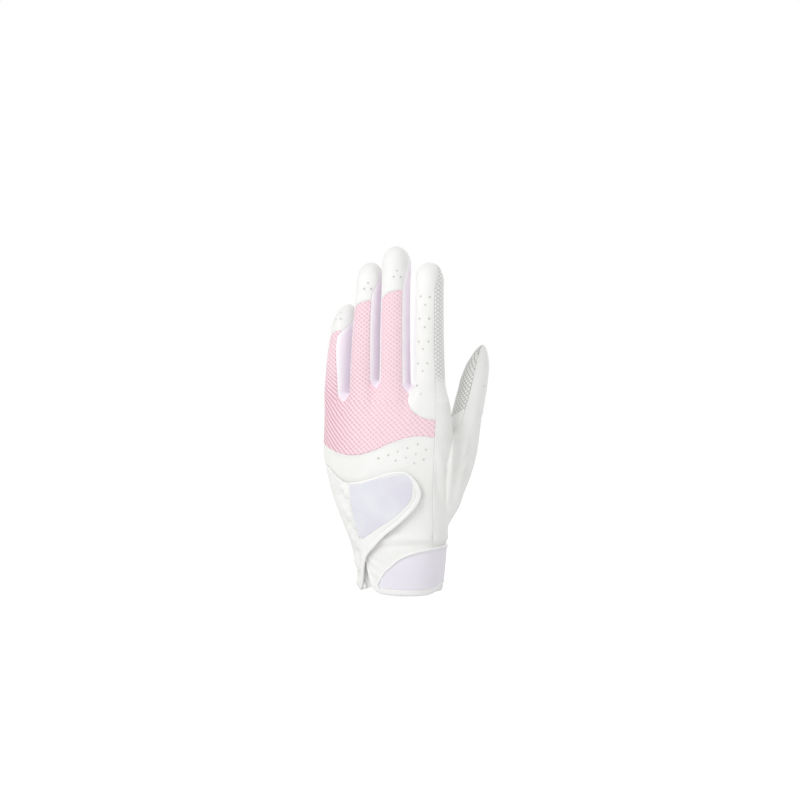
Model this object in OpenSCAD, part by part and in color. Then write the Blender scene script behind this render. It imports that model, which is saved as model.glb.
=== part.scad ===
// Golf glove for the left hand, filled out as it sits on a hand.
// Fingers point up (+Z), the back of the hand faces -Y, the thumb is on the +X side.
// The origin is the middle of the wrist opening, in the plane of the hem.
// Every panel is a thin closed sheet laid on one of three forms: the hand, a finger or the thumb.

/* [Material] */
// Thickness of the leather and of the knitted fabric
skin = 0.8; // [0.6:0.1:1.2]
// Gap between the edges of two panels that meet in a seam
seam = 0.25; // [0.15:0.05:0.5]
// Gap between a finger's panels and the hand's panels at the finger root
root_gap = 0.4; // [0.3:0.05:0.6]

/* [Wrist and palm] */
// Width of the wrist opening
cuff_w = 47; // [43:1:51]
// Depth of the wrist opening, back to palm
cuff_d = 38; // [34:1:42]
// Width across the wrist
wrist_w = 55; // [51:1:59]
// Depth across the wrist
wrist_d = 38; // [34:1:42]
// Height of the wrist above the hem
wrist_h = 27; // [24:1:34]
// Width across the heel of the hand
heel_w = 71; // [67:1:75]
// Depth across the heel of the hand
heel_d = 35; // [32:1:39]
// Height of the heel of the hand
heel_h = 56; // [50:1:60]
// Width across the palm
palm_w = 79.5; // [75:0.5:83]
// Depth across the palm
palm_d = 30; // [27:1:33]
// Height of the widest part of the palm
palm_h = 80; // [74:1:84]
// Width across the knuckles
knuckle_w = 79.5; // [75:0.5:83]
// Depth across the knuckles
knuckle_d = 25; // [22:1:28]
// Height of the knuckles
knuckle_h = 100; // [96:1:104]
// Depth of the hand where the fingers begin
root_d = 20; // [18:1:22]
// Height at which the index, middle and ring fingers begin
root_h = 122; // [116:1:128]
// How much lower the little finger begins
pinky_drop = 7; // [4:1:10]
// How far the little-finger edge curls towards the palm
arch = 5; // [2:0.5:8]
// How far the wrist is offset towards the thumb from the knuckles
wrist_shift = 11.4; // [6:0.2:14]

/* [Fingers] */
// Gap between neighbouring fingers
finger_gap = 2.2; // [1.8:0.1:3]
// Width of the index finger at its root
index_w = 18.2; // [17:0.2:20]
// Length of the index finger
index_l = 70; // [60:1:80]
// Width of the middle finger at its root
middle_w = 17.8; // [16:0.2:20]
// Length of the middle finger
middle_l = 80; // [70:1:90]
// Width of the ring finger at its root
ring_w = 16.8; // [15:0.2:19]
// Length of the ring finger
ring_l = 71; // [60:1:80]
// Width of the little finger at its root
pinky_w = 15.4; // [14:0.2:17]
// Length of the little finger
pinky_l = 54; // [46:1:62]
// Length of a rounded fingertip
tip_l = 11; // [9:0.5:13]
// Length of the rounded tip of the little finger
pinky_tip_l = 14; // [11:0.5:16]
// Share of the finger's length at which the tip cap is sewn on, on the little-finger side
cap_at = 0.6; // [0.5:0.01:0.66]
// How much higher the cap's seam is on the thumb side, as a share of the length
cap_rise = 0.065; // [0.03:0.005:0.1]

/* [Thumb] */
// Width of the thumb at its root, across the nail
thumb_d = 22; // [20:0.5:24]
// Thickness of the thumb at its root
thumb_w = 18.4; // [17:0.2:20]
// Length of the thumb
thumb_l = 47; // [40:1:54]
// Length of the thumb's tapering tip
thumb_tip_l = 24; // [18:1:28]
// Height at which the thumb leaves its gusset
thumb_h = 98; // [95:1:102]
// Sideways place of the thumb's root
thumb_x = 31.5; // [30:0.5:34]
// How far the thumb's root stands towards the palm side
thumb_y = 24; // [23:0.5:27]
// Height of the middle of the thumb opening in the hand
thumb_hole_h = 66; // [63:1:68]
// Height of the thumb opening in the hand
thumb_hole_l = 52; // [46:1:56]

/* [Back panels] */
// Sideways place of the long seam on the thumb side of the back
radial_x = 23.5; // [21:0.5:24.5]
// Mean height of the wavy seam under the mesh
wave_h = 86.2; // [82:0.2:90]
// Rise and fall of the wavy seam
wave_a = 5.6; // [2:0.2:7]
// Depth of the index panel's rounded end below the finger roots
index_end = 21; // [16:1:26]
// How far the webs between the fingers run down the back
web_l = 6; // [4.5:0.5:8]
// Width of a web between two fingers
web_w = 3.6; // [3:0.2:4.6]

/* [Cuff and closure] */
// Height of the hem binding
hem_h = 4; // [3:0.5:5]
// How far the hem binding stands proud of the cuff
hem_proud = 0.5; // [0.3:0.1:0.9]
// Height of the elastic band on the thumb side of the cuff
band_h = 28; // [22:1:30]
// Place of the slit at the hem, left of the middle
slit_x = 17.5; // [15:0.5:20]
// Width of the slit at the hem
slit_w = 3; // [1.5:0.5:5]
// Height of the open slit
slit_h = 62; // [52:1:70]
// Thickness of the elastic band
band_t = 0.5; // [0.4:0.1:0.8]
// Width of the piping round the elastic band
piping_w = 1.2; // [0.8:0.1:2]
// Thickness of the piping
piping_t = 0.5; // [0.4:0.1:0.8]
// Thickness of the loop patch on the wrist
loop_t = 0.7; // [0.5:0.1:1]
// Thickness of the hook patch under the tab
hook_t = 0.7; // [0.5:0.1:1]
// Clearance under the tab beside its hinge
tab_clear = 0.9; // [0.8:0.1:1.4]
// Clearance between pieces that lie over each other
layer_gap = 0.45; // [0.4:0.05:0.6]
// Reach of the tab's round end from the middle of the cuff
tab_reach = 16.5; // [14:0.5:20]
// Height of the tab's upper corner at the hinge
tab_top = 74; // [70:1:76]
// Height of the tab's lower corner at the hinge
tab_foot = 5.5; // [5:0.5:10]
// Width of the tab's bound edge
tab_edge = 2; // [1.5:0.1:3]

/* [Inside] */
// Height of the elastic inside the palm side of the wrist
shirring_h = 12; // [8:1:16]
// Height of the middle of that elastic
shirring_at = 40; // [36:1:46]
// Thickness of that elastic
shirring_t = 0.6; // [0.4:0.1:0.8]

/* [Hidden] */

LEATHER = "#f1f1ef";
MESH = "#f9d0dc";
GRIP = "#c9cbc6";
FABRIC = "#eae4ec";
ELASTIC = "#dcd8e6";
INSET = "#e7e8ec";
TOUCH = "#f4f4f4";

// Squareness of the sections: 2 is an ellipse, more is squarer
HAND_SQ = 2.4;
FINGER_SQ = 2.3;
// Angles on the hand's section, counter-clockwise from the thumb side as seen from above
ULNAR_SEAM = 186;
THUMB_MID = 376;
THUMB_HALF = 32;
BAND_MID = 350;
BAND_HALF = 87;
// Share of a finger's length at which its side strips start to taper, and at which they end
SIDE_TAPER = 0.7;
SIDE_END = 0.93;
// Angles of the seams on a finger's section: thumb side to back, back to little-finger side,
// little-finger side to palm, palm to thumb side
SEAMS = [317, 223, 137, 403];
INDEX_SEAMS = [308, 223, 137, 403];
// Angles of the thumb's seams: palm to back, palm to grip strip, grip strip to back
THUMB_SEAMS = [376, 164, 254];
// How nearly the tip's last ring closes, in degrees of a quarter circle
TIP_CLOSE = 87;

// ---- Small helpers

function mix(a, b, t) = a + (b - a) * t;
function clamp01(t) = max(0, min(1, t));
function ease(t) = let(c = clamp01(t)) c * c * (3 - 2 * c);
function signed_pow(v, p) = sign(v) * pow(abs(v), p);
function superellipse(a, sq) = [signed_pow(cos(a), 2 / sq), signed_pow(sin(a), 2 / sq)];

// Smooth curve through rows of keys: the first column is the place, column k the value
function row_at(keys, z, i = 0) = i >= len(keys) - 2 || z < keys[i + 1][0] ? i : row_at(keys, z, i + 1);
function slope_at(keys, i, k) =
    let(a = max(i - 1, 0), b = min(i + 1, len(keys) - 1))
    (keys[b][k] - keys[a][k]) / (keys[b][0] - keys[a][0]);
function curve(keys, z, k) =
    let(
        i = row_at(keys, z),
        step = keys[i + 1][0] - keys[i][0],
        t = clamp01((z - keys[i][0]) / step)
    )
    keys[i][k] * (2 * t * t * t - 3 * t * t + 1)
    + slope_at(keys, i, k) * step * (t * t * t - 2 * t * t + t)
    + keys[i + 1][k] * (3 * t * t - 2 * t * t * t)
    + slope_at(keys, i + 1, k) * step * (t * t * t - t * t);

// ---- The hand's form

fingers_w = pinky_w + ring_w + middle_w + index_w + 3 * finger_gap;
root_x = -wrist_shift;
pinky_x = root_x - fingers_w / 2 + pinky_w / 2;
ring_x = pinky_x + pinky_w / 2 + finger_gap + ring_w / 2;
middle_x = ring_x + ring_w / 2 + finger_gap + middle_w / 2;
index_x = middle_x + middle_w / 2 + finger_gap + index_w / 2;
crotch_x = [
    pinky_x + (pinky_w + finger_gap) / 2,
    ring_x + (ring_w + finger_gap) / 2,
    middle_x + (middle_w + finger_gap) / 2
];
pinky_root_h = root_h - pinky_drop;

// Height, half width, half depth and sideways middle of the hand's sections
HAND = [
    [0, cuff_w / 2, cuff_d / 2, root_x + wrist_shift],
    [wrist_h, wrist_w / 2, wrist_d / 2, root_x + wrist_shift * 0.91],
    [heel_h, heel_w / 2, heel_d / 2, root_x + wrist_shift * 0.5],
    [palm_h, palm_w / 2, palm_d / 2, root_x + wrist_shift * 0.2],
    [knuckle_h, knuckle_w / 2, knuckle_d / 2, root_x + wrist_shift * 0.12],
    [root_h, fingers_w / 2 + 0.8, root_d / 2, root_x - 0.3]
];

// The arch across the knuckles: both edges curl towards the palm, most at the little finger
function bow(x, z) =
    arch * ease((z - wrist_h) / (root_h - wrist_h)) * pow((x - middle_x) / (fingers_w / 2), 2);
// Grooves between the finger roots: a factor on the hand's half depth
groove_depth = 0.3;
groove_w = 3.5;
function groove(x, z) =
    1 - groove_depth * ease((z - knuckle_h) / (root_h - knuckle_h))
    * max([for (c = crotch_x) exp(-pow((x - c) / groove_w, 2))]);

// Point of the hand at angle a and height z, d below its outer face
function hand(a, z, d) =
    let(
        q = superellipse(a, HAND_SQ),
        x = curve(HAND, z, 3) + (curve(HAND, z, 1) - d) * q.x
    )
    [x, bow(x, z) + (curve(HAND, z, 2) * groove(x, z) - d) * q.y, z];

// Angle at which the back of the hand, or its palm, has the sideways place x at height z
function section_angle(x, z) =
    let(q = (x - curve(HAND, z, 3)) / curve(HAND, z, 1))
    acos(signed_pow(max(-1, min(1, q)), HAND_SQ / 2));
function back_angle(x, z) = 360 - section_angle(x, z);
function palm_angle(x, z) = 360 + section_angle(x, z);

// A seam gap in degrees, halfway to the next panel
function gap_angle(r) = seam / 2 / max(r, 1.5) * 180 / PI;
hand_gap = gap_angle(palm_d / 2);

// ---- Seam lines on the hand

// The wavy seam between the mesh and the wrist panel
wave_mid = -5;
wave_span = 42;
function wave(x) = wave_h + wave_a * sin((x - wave_mid) / wave_span * 180);
// The rounded end of the index panel, from the web to the radial seam
function index_edge(x) =
    let(
        reach = radial_x - crotch_x[2],
        t = clamp01((radial_x - x) / reach)
    )
    root_h - web_l - (index_end - web_l) * sqrt(1 - t * t * 0.98);
// The upper edge of the elastic band on the thumb side of the cuff, at angle a
function band_top(a) =
    hem_h + seam + (band_h - hem_h) * sqrt(1 - pow(min(1, abs(a - BAND_MID) / BAND_HALF), 3.2));
// The long seam on the thumb side of the back, and the wavy seam at angle a
function radial_seam(z) = back_angle(radial_x, z);
function wave_at(a) = wave(hand(a, wave_h, 0).x);
// The thumb opening's half angle at height z
function thumb_open(z) =
    let(t = (z - thumb_hole_h) / (thumb_hole_l / 2))
    abs(t) < 1 ? (THUMB_HALF + hand_gap) * sqrt(1 - t * t) : 0;
// Half the slit's width at height z, and its sideways middle
function slit_half(z) = seam / 2 + slit_w / 2 * clamp01(1 - z / slit_h);
function slit_mid(z) = -slit_x - 0.07 * z;

// ---- Sheets

function quad(a, b, c, d) = [[a, b, c], [a, c, d]];
function flat(lists) = [for (l = lists) each l];

// A closed solid between the faces f(s, t, out) and f(s, t, inn), for s and t from 0 to 1.
// It has nu by nv cells, and ring joins its last column to its first.
module sheet(f, nu, nv, out = 0, inn = skin, ring = false) {
    cols = ring ? nu : nu + 1;
    n = cols * (nv + 1);
    points = [for (d = [out, inn], j = [0:nv], i = [0:cols - 1]) f(i / nu, j / nv, d)];
    at = function(i, j) j * cols + i % cols;
    outer = [
        for (j = [0:nv - 1], i = [0:nu - 1])
            quad(at(i, j), at(i, j + 1), at(i + 1, j + 1), at(i + 1, j))
    ];
    inner = [
        for (j = [0:nv - 1], i = [0:nu - 1])
            quad(n + at(i, j), n + at(i + 1, j), n + at(i + 1, j + 1), n + at(i, j + 1))
    ];
    low = [for (i = [0:nu - 1]) quad(at(i, 0), at(i + 1, 0), n + at(i + 1, 0), n + at(i, 0))];
    high = [for (i = [0:nu - 1]) quad(at(i + 1, nv), at(i, nv), n + at(i, nv), n + at(i + 1, nv))];
    left = [for (j = [0:nv - 1]) quad(at(0, j + 1), at(0, j), n + at(0, j), n + at(0, j + 1))];
    right = [for (j = [0:nv - 1]) quad(at(nu, j), at(nu, j + 1), n + at(nu, j + 1), n + at(nu, j))];
    polyhedron(
        points = points,
        faces = flat(flat(ring ? [outer, inner, low, high] : [outer, inner, low, high, left, right])),
        convexity = 8
    );
}

// Height of the edge f(angle), found along the column at share s between the angles a0 and a1
function edge_at(f, a0, a1, s, z, n = 4) =
    n == 0 ? z : edge_at(f, a0, a1, s, f(mix(a0(z), a1(z), s)), n - 1);

// A sheet on the hand between the angles a0(z) and a1(z), from the height lo(a) to hi(a)
module hand_sheet(a0, a1, lo, hi, nu, nv, out = 0, inn = skin) {
    sheet(
        function(s, t, d)
            let(
                z0 = edge_at(lo, a0, a1, s, wrist_h),
                z1 = edge_at(hi, a0, a1, s, palm_h),
                z = mix(z0, z1, t)
            )
            hand(mix(a0(z) + hand_gap, a1(z) - hand_gap, s), z, d),
        nu, nv, out, inn
    );
}

// Sideways place of the little-finger edge of the mesh
ulnar_x = hand(ULNAR_SEAM, knuckle_h, 0).x;
// How far the thenar gusset bulges
gusset_bulge = 1.6;

// ---- Panels of the hand

// Places across the back at which the mesh has a column, so that it steps down at each web
web_side = web_w / 2 + seam;
step_x = 0.02;
mesh_x = [
    for (k = [0:5]) mix(ulnar_x, crotch_x[0] - web_side - step_x, ease(k / 5)),
    for (c = [0, 1]) each [
        crotch_x[c] - web_side + step_x,
        crotch_x[c] + web_side - step_x,
        for (k = [0:3]) mix(crotch_x[c] + web_side + step_x, crotch_x[c + 1] - web_side - step_x, k / 3)
    ],
    crotch_x[2] - web_side + step_x,
    for (k = [0:7]) mix(crotch_x[2] + web_side, radial_x, k / 7)
];
function in_web(x) = len([for (c = crotch_x) if (abs(x - c) < web_side) 1]) > 0;
function finger_root(x) = x < crotch_x[0] ? pinky_root_h : root_h;
function mesh_top(x) =
    x > crotch_x[2] + web_w / 2 ? index_edge(x) - seam
    : in_web(x) ? finger_root(x - web_w) - root_gap - web_l - seam
    : finger_root(x) - root_gap;

module back_mesh() {
    cols = len(mesh_x) - 1;
    color(MESH) sheet(
        function(s, t, d)
            let(
                x = mesh_x[round(s * cols)],
                z = mix(wave(x) + seam, mesh_top(x), t),
                a = back_angle(x, z),
                first = ULNAR_SEAM + hand_gap,
                last = radial_seam(z) - hand_gap
            )
            hand(s == 0 ? first : s == 1 ? last : max(first + 1, min(last - 1, a)), z, d),
        cols, 8
    );
}

module index_knuckle_panel() {
    from_x = crotch_x[2] + web_side;
    color(LEATHER) sheet(
        function(s, t, d)
            let(
                x = mix(from_x, radial_x, s),
                z = mix(index_edge(x), root_h - root_gap, t)
            )
            hand(back_angle(x, z) - (s == 1 ? hand_gap : 0), z, d),
        8, 5
    );
}

module wrist_back_panel() {
    color(LEATHER) hand_sheet(
        function(z) back_angle(slit_mid(z) + slit_half(z), z),
        function(z) radial_seam(max(z, wrist_h)),
        function(a) hem_h + seam,
        function(a) wave_at(a),
        16, 12
    );
}

module ulnar_wrist_panel() {
    color(LEATHER) hand_sheet(
        function(z) ULNAR_SEAM,
        function(z) back_angle(slit_mid(z) - slit_half(z), z),
        function(a) hem_h + seam,
        function(a) wave_at(a),
        9, 12
    );
}

module radial_side_panel() {
    color(LEATHER) hand_sheet(
        function(z) radial_seam(max(z, wrist_h)),
        function(z) THUMB_MID - thumb_open(z),
        function(a) hem_h + seam,
        function(a) root_h - root_gap,
        6, 26
    );
}

module palm_leather() {
    color(LEATHER) hand_sheet(
        function(z) THUMB_MID + thumb_open(z),
        function(z) ULNAR_SEAM + 360,
        function(a) hem_h + seam,
        function(a) finger_root(hand(a, knuckle_h, 0).x - finger_gap / 2) - root_gap,
        24, 26
    );
}

// The thenar gusset: a tube from the lens-shaped opening in the hand to the thumb's root
function gusset(s, t) =
    let(
        a = -s * 360,
        lens = hand(
            THUMB_MID + (THUMB_HALF - 2.5) * cos(a),
            thumb_hole_h + (thumb_hole_l / 2 - 1.8) * sin(a),
            0.2
        ),
        ring = finger(THUMB, 90 + a, 0, 0) - [0, 0, root_gap]
    )
    mix(lens, ring, t) + gusset_bulge * sin(t * 180) * (1 - sin(a)) * [0.5, -0.15, -0.25];

module thumb_gusset() {
    step = 0.06;
    color(LEATHER) sheet(
        function(s, t, d)
            let(
                mid = mix(0.15, 0.9, t),
                across = gusset(s + step / 2, mid) - gusset(s - step / 2, mid),
                along = gusset(s, mid + step) - gusset(s, mid - step),
                n = cross(along, across)
            )
            gusset(s, t) + d * n / norm(n),
        28, 6, ring = true
    );
}

// Point of the elastic band's layer at angle a, from its lower edge (v = 0) to its upper one (v = 1)
band_low = hem_h + seam + 0.4;
function band_point(a, v, out) = hand(a, mix(band_low, band_top(a), v), out - layer_gap);
function band_angle(s) = BAND_MID + BAND_HALF * 0.985 * sin(mix(-90, 90, s));

module cuff_elastic() {
    color(ELASTIC) sheet(
        function(s, t, d) band_point(band_angle(s), mix(0, 0.96, t), d),
        26, 4, out = -band_t, inn = 0
    );
}

// Piping over the band's upper edge, from one lower corner to the other
module cuff_piping() {
    color(LEATHER) sheet(
        function(s, t, d)
            let(
                a = band_angle(s),
                slope = (band_top(a + 0.5) - band_top(a - 0.5)) / (palm_d / 2 * PI / 180),
                w = piping_w * (t - 0.5) / sqrt(1 + slope * slope)
            )
            hand(a - w * slope / (palm_d / 2) * 180 / PI, band_top(a) + w, d - layer_gap - band_t),
        28, 1, out = -piping_t - 0.2, inn = -0.2
    );
}

module hem_binding() {
    color(LEATHER) hand_sheet(
        function(z) back_angle(slit_mid(0) + slit_half(0), z),
        function(z) back_angle(slit_mid(0) - slit_half(0), z) + 360,
        function(a) 0,
        function(a) hem_h,
        36, 2, out = -hem_proud, inn = skin + hem_proud
    );
}

module palm_elastic() {
    reach = 48;
    color(ELASTIC) hand_sheet(
        function(z) 450 - reach,
        function(z) 450 + reach,
        function(a) shirring_at - shirring_h / 2,
        function(a) shirring_at + shirring_h / 2,
        10, 2, out = skin + layer_gap, inn = skin + layer_gap + shirring_t
    );
}

// ---- Webs between the fingers: the U-shaped ends of the side strips

// A strap up the back and over the gap between two fingers, to the inside of the palm.
// Beside the little finger it also climbs from the lower root to the higher one.
module web(c) {
    low = (c == 0 ? pinky_root_h : root_h) - root_gap;
    climb = root_h - root_gap - low;
    saddle = 2.5;
    rim = function(s) [crotch_x[c] + web_w * (s - 0.5), low + climb * ease((s - 0.55) / 0.4)];
    color(FABRIC) sheet(
        function(s, t, d)
            let(
                over = clamp01((t - 0.4) / 0.6),
                p = rim(s),
                along = rim(s + 0.02) - rim(s - 0.02),
                turned = p - d / norm(along) * [-along.y, along.x],
                q = [min(turned.x, crotch_x[c] + web_w / 2), turned.y],
                z = mix(low - web_l, p.y, t / 0.4),
                back = hand(back_angle(p.x, p.y), p.y, 0),
                front = hand(palm_angle(p.x, p.y), p.y, skin + seam)
            )
            t <= 0.4 ? hand(back_angle(p.x, z), z, d)
            : [q.x, mix(back.y, front.y, over), q.y - saddle * sin(over * 180)],
        6, 10
    );
}

// ---- The closure tab

// The hinge is a straight line up the little-finger side of the cuff, just clear of the hand
HINGE_ANGLE = 202;
hinge_from = hand(HINGE_ANGLE, tab_foot, -tab_clear);
hinge_to = hand(HINGE_ANGLE, tab_top, -tab_clear);
function hinge_share(z) = (z - tab_foot) / (tab_top - tab_foot);
function hinge_line(z) = mix(hinge_from, hinge_to, hinge_share(z));
hinge_over = [
    for (k = [0:12])
        let(z = mix(tab_foot, tab_top, k / 12))
        hinge_line(z) - hand(HINGE_ANGLE, z, -tab_clear)
];
hinge_push = [max([for (p = hinge_over) p.x]), max([for (p = hinge_over) p.y]), 0];
function hinge_at(z) = hinge_line(z) - hinge_push;

// Place along the tab, then its lower and upper edge there as shares of the hinge's height
TAB = [
    [0, 0, 1],
    [0.1, 0.015, 0.949],
    [0.16, 0.05, 0.907],
    [0.24, 0.168, 0.869],
    [0.32, 0.263, 0.866],
    [0.44, 0.336, 0.88],
    [0.57, 0.416, 0.912],
    [0.73, 0.504, 0.956],
    [0.82, 0.56, 0.965],
    [0.89, 0.613, 0.942],
    [0.95, 0.667, 0.89],
    [0.98, 0.708, 0.847],
    [1, 0.758, 0.797]
];
function tab_edge_at(s, side) = mix(tab_foot, tab_top, curve(TAB, s, side));
tab_lift = loop_t + hook_t + 3 * layer_gap - tab_clear;

// Sideways place at s along the tab and height z, and point of the tab there, d below its outer face
function tab_x(s, z) = mix(hand(HINGE_ANGLE, z, 0).x, tab_reach, s);
function tab_at(x, z, d) =
    let(
        root = hand(HINGE_ANGLE, z, 0).x,
        s = (x - root) / (tab_reach - root),
        lift = tab_clear + skin + tab_lift * ease(s / 0.35),
        push = hinge_at(z) - hand(HINGE_ANGLE, z, -tab_clear)
    )
    hand(back_angle(x, z), z, d - lift) + push * (1 - ease(s / 0.3));
function tab(s, t, d) =
    let(z = mix(tab_edge_at(s, 1), tab_edge_at(s, 2), t))
    tab_at(tab_x(s, z), z, d);

module tab_shell() {
    color(LEATHER) sheet(function(s, t, d) tab(pow(s, 1.5), t, d), 24, 8);
}

// A patch on the tab's line between s0 and s1, held in from its edges
module tab_patch(s0, s1, margin, out, inn) {
    sheet(function(s, t, d) tab(mix(s0, s1, s), mix(margin, 1 - margin, t), d), 10, 4, out, inn);
}

tab_top_layer = 0.4;
module tab_inset() {
    color(INSET) tab_patch(0.3, 0.9, 0.15, -layer_gap - tab_top_layer, -layer_gap / 2);
}

module hook_patch() {
    color(TOUCH) tab_patch(0.4, 0.88, 0.16, skin + layer_gap / 3, skin + layer_gap / 3 + hook_t);
}

module loop_patch() {
    under = skin + tab_clear + tab_lift - layer_gap - loop_t;
    color(TOUCH) tab_patch(0.4, 0.9, 0.1, under, under + loop_t);
}

// The bound edge: a low bead along the tab's rim, from the hinge round its end and back
module tab_binding() {
    rim = function(k)
        let(
            q = 1 - abs(2 * k - 1),
            s = mix(0.12, 1, 1 - pow(1 - q, 2)),
            z = tab_edge_at(s, k < 0.5 ? 1 : 2)
        )
        [tab_x(s, z), z];
    color(LEATHER) sheet(
        function(s, t, d)
            let(
                p = rim(s),
                along = rim(min(1, s + 0.01)) - rim(max(0, s - 0.01)),
                q = p + tab_edge * t / norm(along) * [-along.y, along.x]
            )
            tab_at(q.x, q.y, d),
        48, 1, -layer_gap - tab_top_layer, -layer_gap / 2
    );
}

// ---- Fingers and thumb

// Root x, y and z, length, sideways lean, curl towards the palm, power of the curl,
// half width and half depth at the root, taper towards the tip, turn about its own length, tip length,
// then the angles of its seams on its section
INDEX = [
    index_x, bow(index_x, root_h), root_h, index_l,
    -1.6, 7, 2, index_w / 2, 9.4, 0.86, 4, tip_l, INDEX_SEAMS
];
MIDDLE = [
    middle_x, bow(middle_x, root_h), root_h, middle_l,
    -1, 6, 2, middle_w / 2, 9.2, 0.9, 0, tip_l, SEAMS
];
RING = [
    ring_x, bow(ring_x, root_h), root_h, ring_l,
    1.6, 8, 2, ring_w / 2, 8.9, 0.9, -5, tip_l, SEAMS
];
PINKY = [
    pinky_x, bow(pinky_x, root_h), pinky_root_h, pinky_l,
    2.5, 13, 2.4, pinky_w / 2, 7.8, 0.92, -28, pinky_tip_l, SEAMS
];
THUMB = [
    thumb_x, thumb_y, thumb_h, thumb_l,
    7.5, 11, 1.5, thumb_w / 2, thumb_d / 2, 0.8, 20, thumb_tip_l, THUMB_SEAMS
];

// Share of the length at which the rounded tip begins
function tip_at(f) = 1 - f[11] / f[3];

// Point of a finger's form at angle a and share v of its length, d below its outer face
function finger(f, a, v, d) =
    let(
        body = tip_at(f),
        past = clamp01((v - body) / (1 - body)) * TIP_CLOSE,
        t = v <= body ? v : body + (1 - body) * (f[11] - d) / f[11] * sin(past),
        size = mix(1, f[9], t),
        q = superellipse(a, FINGER_SQ),
        w = (f[7] * size - d) * cos(past) * q.x,
        p = (f[8] * size - d) * cos(past) * q.y,
        turned = [w * cos(f[10]) - p * sin(f[10]), w * sin(f[10]) + p * cos(f[10])],
        rise = t == 0 ? 0 : f[5] * f[6] * pow(t, f[6] - 1) / f[3],
        tilt = atan(rise)
    )
    [
        f[0] + f[4] * t + turned.x,
        f[1] + f[5] * pow(t, f[6]) + turned.y * cos(tilt),
        f[2] + f[3] * t - turned.y * sin(tilt)
    ];

// Angle of a finger's seam k at v: thumb side to back, back to little-finger side,
// little-finger side to palm, palm to thumb side. The side strips end in a point near the tip.
function seam_turn(v) = ease((v - SIDE_TAPER) / (SIDE_END - SIDE_TAPER));
function seam_angle(f, k, v) = mix(f[12][k], k == 0 || k == 3 ? 360 : 180, seam_turn(v));
function finger_gap_angle(f, v) =
    gap_angle(f[7] * cos(clamp01((v - tip_at(f)) / (1 - tip_at(f))) * TIP_CLOSE));

// The cap's seam, at s from the little-finger side to the thumb side
function cap_seam(s) = cap_at + cap_rise * (1 - pow(1 - s, 2.2));

// Shares of the length at which a finger's panels have their rows. Neighbours share them where
// the side strips taper, so their edges stay parallel.
LOW_ROWS = 6;
TIP_ROWS = 9;
function tip_row(k) = 1 - (1 - SIDE_TAPER) * pow(1 - k / TIP_ROWS, 1.4);
low_rows = [for (k = [0:LOW_ROWS - 1]) SIDE_TAPER * k / LOW_ROWS];
full_rows = [each low_rows, for (k = [0:TIP_ROWS]) tip_row(k)];
side_rows = [for (v = full_rows) if (v < SIDE_END - 0.02) v];

// A panel between two seams, with a row of cells between each two of the shares in rows(s)
module finger_panel(f, k0, k1, rows, nu = 6) {
    nv = len(rows(0)) - 1;
    sheet(
        function(s, t, d)
            let(
                v = rows(s)[round(t * nv)],
                a0 = seam_angle(f, k0, v),
                a1 = seam_angle(f, k1, v),
                mid = (a0 + a1) / 2,
                half = max(1, abs(a1 - a0) / 2 - finger_gap_angle(f, v))
            )
            finger(f, mid + mix(-half, half, s), v, d),
        nu, nv
    );
}

// The back runs from the little-finger side to the thumb side, and the cap continues it
module finger_back(f) {
    top = function(s) cap_seam(s) - seam / 2 / f[3];
    color(MESH) finger_panel(f, 1, 0, function(s) [for (k = [0:LOW_ROWS]) top(s) * k / LOW_ROWS]);
}

module finger_cap(f) {
    foot = function(s) cap_seam(s) + seam / 2 / f[3];
    color(LEATHER) finger_panel(f, 1, 0, function(s) [foot(s), for (k = [0:TIP_ROWS]) tip_row(k)]);
}

// The palm panel runs from 0 to 180 degrees, so its thumb-side seam is taken one turn back
module finger_palm(f) {
    nv = len(full_rows) - 1;
    color(LEATHER) sheet(
        function(s, t, d)
            let(
                v = full_rows[round(t * nv)],
                g = finger_gap_angle(f, v),
                a0 = seam_angle(f, 3, v) - 360 + g,
                a1 = seam_angle(f, 2, v) - g
            )
            finger(f, mix(a0, a1, s), v, d),
        6, nv
    );
}

module thumb_side(f, shade) {
    color(shade) finger_panel(f, 0, 3, function(s) side_rows, nu = 4);
}

module little_side(f, shade) {
    color(shade) finger_panel(f, 2, 1, function(s) side_rows, nu = 4);
}

module index_back() {
    color(LEATHER) finger_panel(INDEX, 1, 0, function(s) full_rows);
}

// A panel of the thumb between two of its seams, from root to tip
module thumb_panel(from, to, shade) {
    color(shade) sheet(
        function(s, t, d)
            let(
                v = 1 - pow(1 - t, 1.7),
                g = finger_gap_angle(THUMB, v)
            )
            finger(THUMB, mix(from + g, to - g, s), v, d),
        6, 10
    );
}

// ---- The assembly

back_mesh();
index_knuckle_panel();
wrist_back_panel();
ulnar_wrist_panel();
radial_side_panel();
palm_leather();
thumb_gusset();
cuff_elastic();
cuff_piping();
hem_binding();
palm_elastic();
loop_patch();
web(0);  // web_ring_pinky
web(1);  // web_middle_ring
web(2);  // web_index_middle
tab_shell();
tab_inset();
tab_binding();
hook_patch();
index_back();
finger_palm(INDEX);  // index_palm
thumb_side(INDEX, GRIP);  // index_grip_strip
little_side(INDEX, FABRIC);  // index_fourchette
finger_back(MIDDLE);  // middle_back
finger_cap(MIDDLE);  // middle_cap
finger_palm(MIDDLE);  // middle_palm
thumb_side(MIDDLE, FABRIC);  // middle_thumb_side
little_side(MIDDLE, FABRIC);  // middle_little_side
finger_back(RING);  // ring_back
finger_cap(RING);  // ring_cap
finger_palm(RING);  // ring_palm
thumb_side(RING, FABRIC);  // ring_thumb_side
little_side(RING, FABRIC);  // ring_little_side
finger_back(PINKY);  // pinky_back
finger_cap(PINKY);  // pinky_cap
finger_palm(PINKY);  // pinky_palm
thumb_side(PINKY, FABRIC);  // pinky_thumb_side
little_side(PINKY, FABRIC);  // pinky_little_side
thumb_panel(THUMB_SEAMS[2], THUMB_SEAMS[0], LEATHER);  // thumb_back
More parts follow.
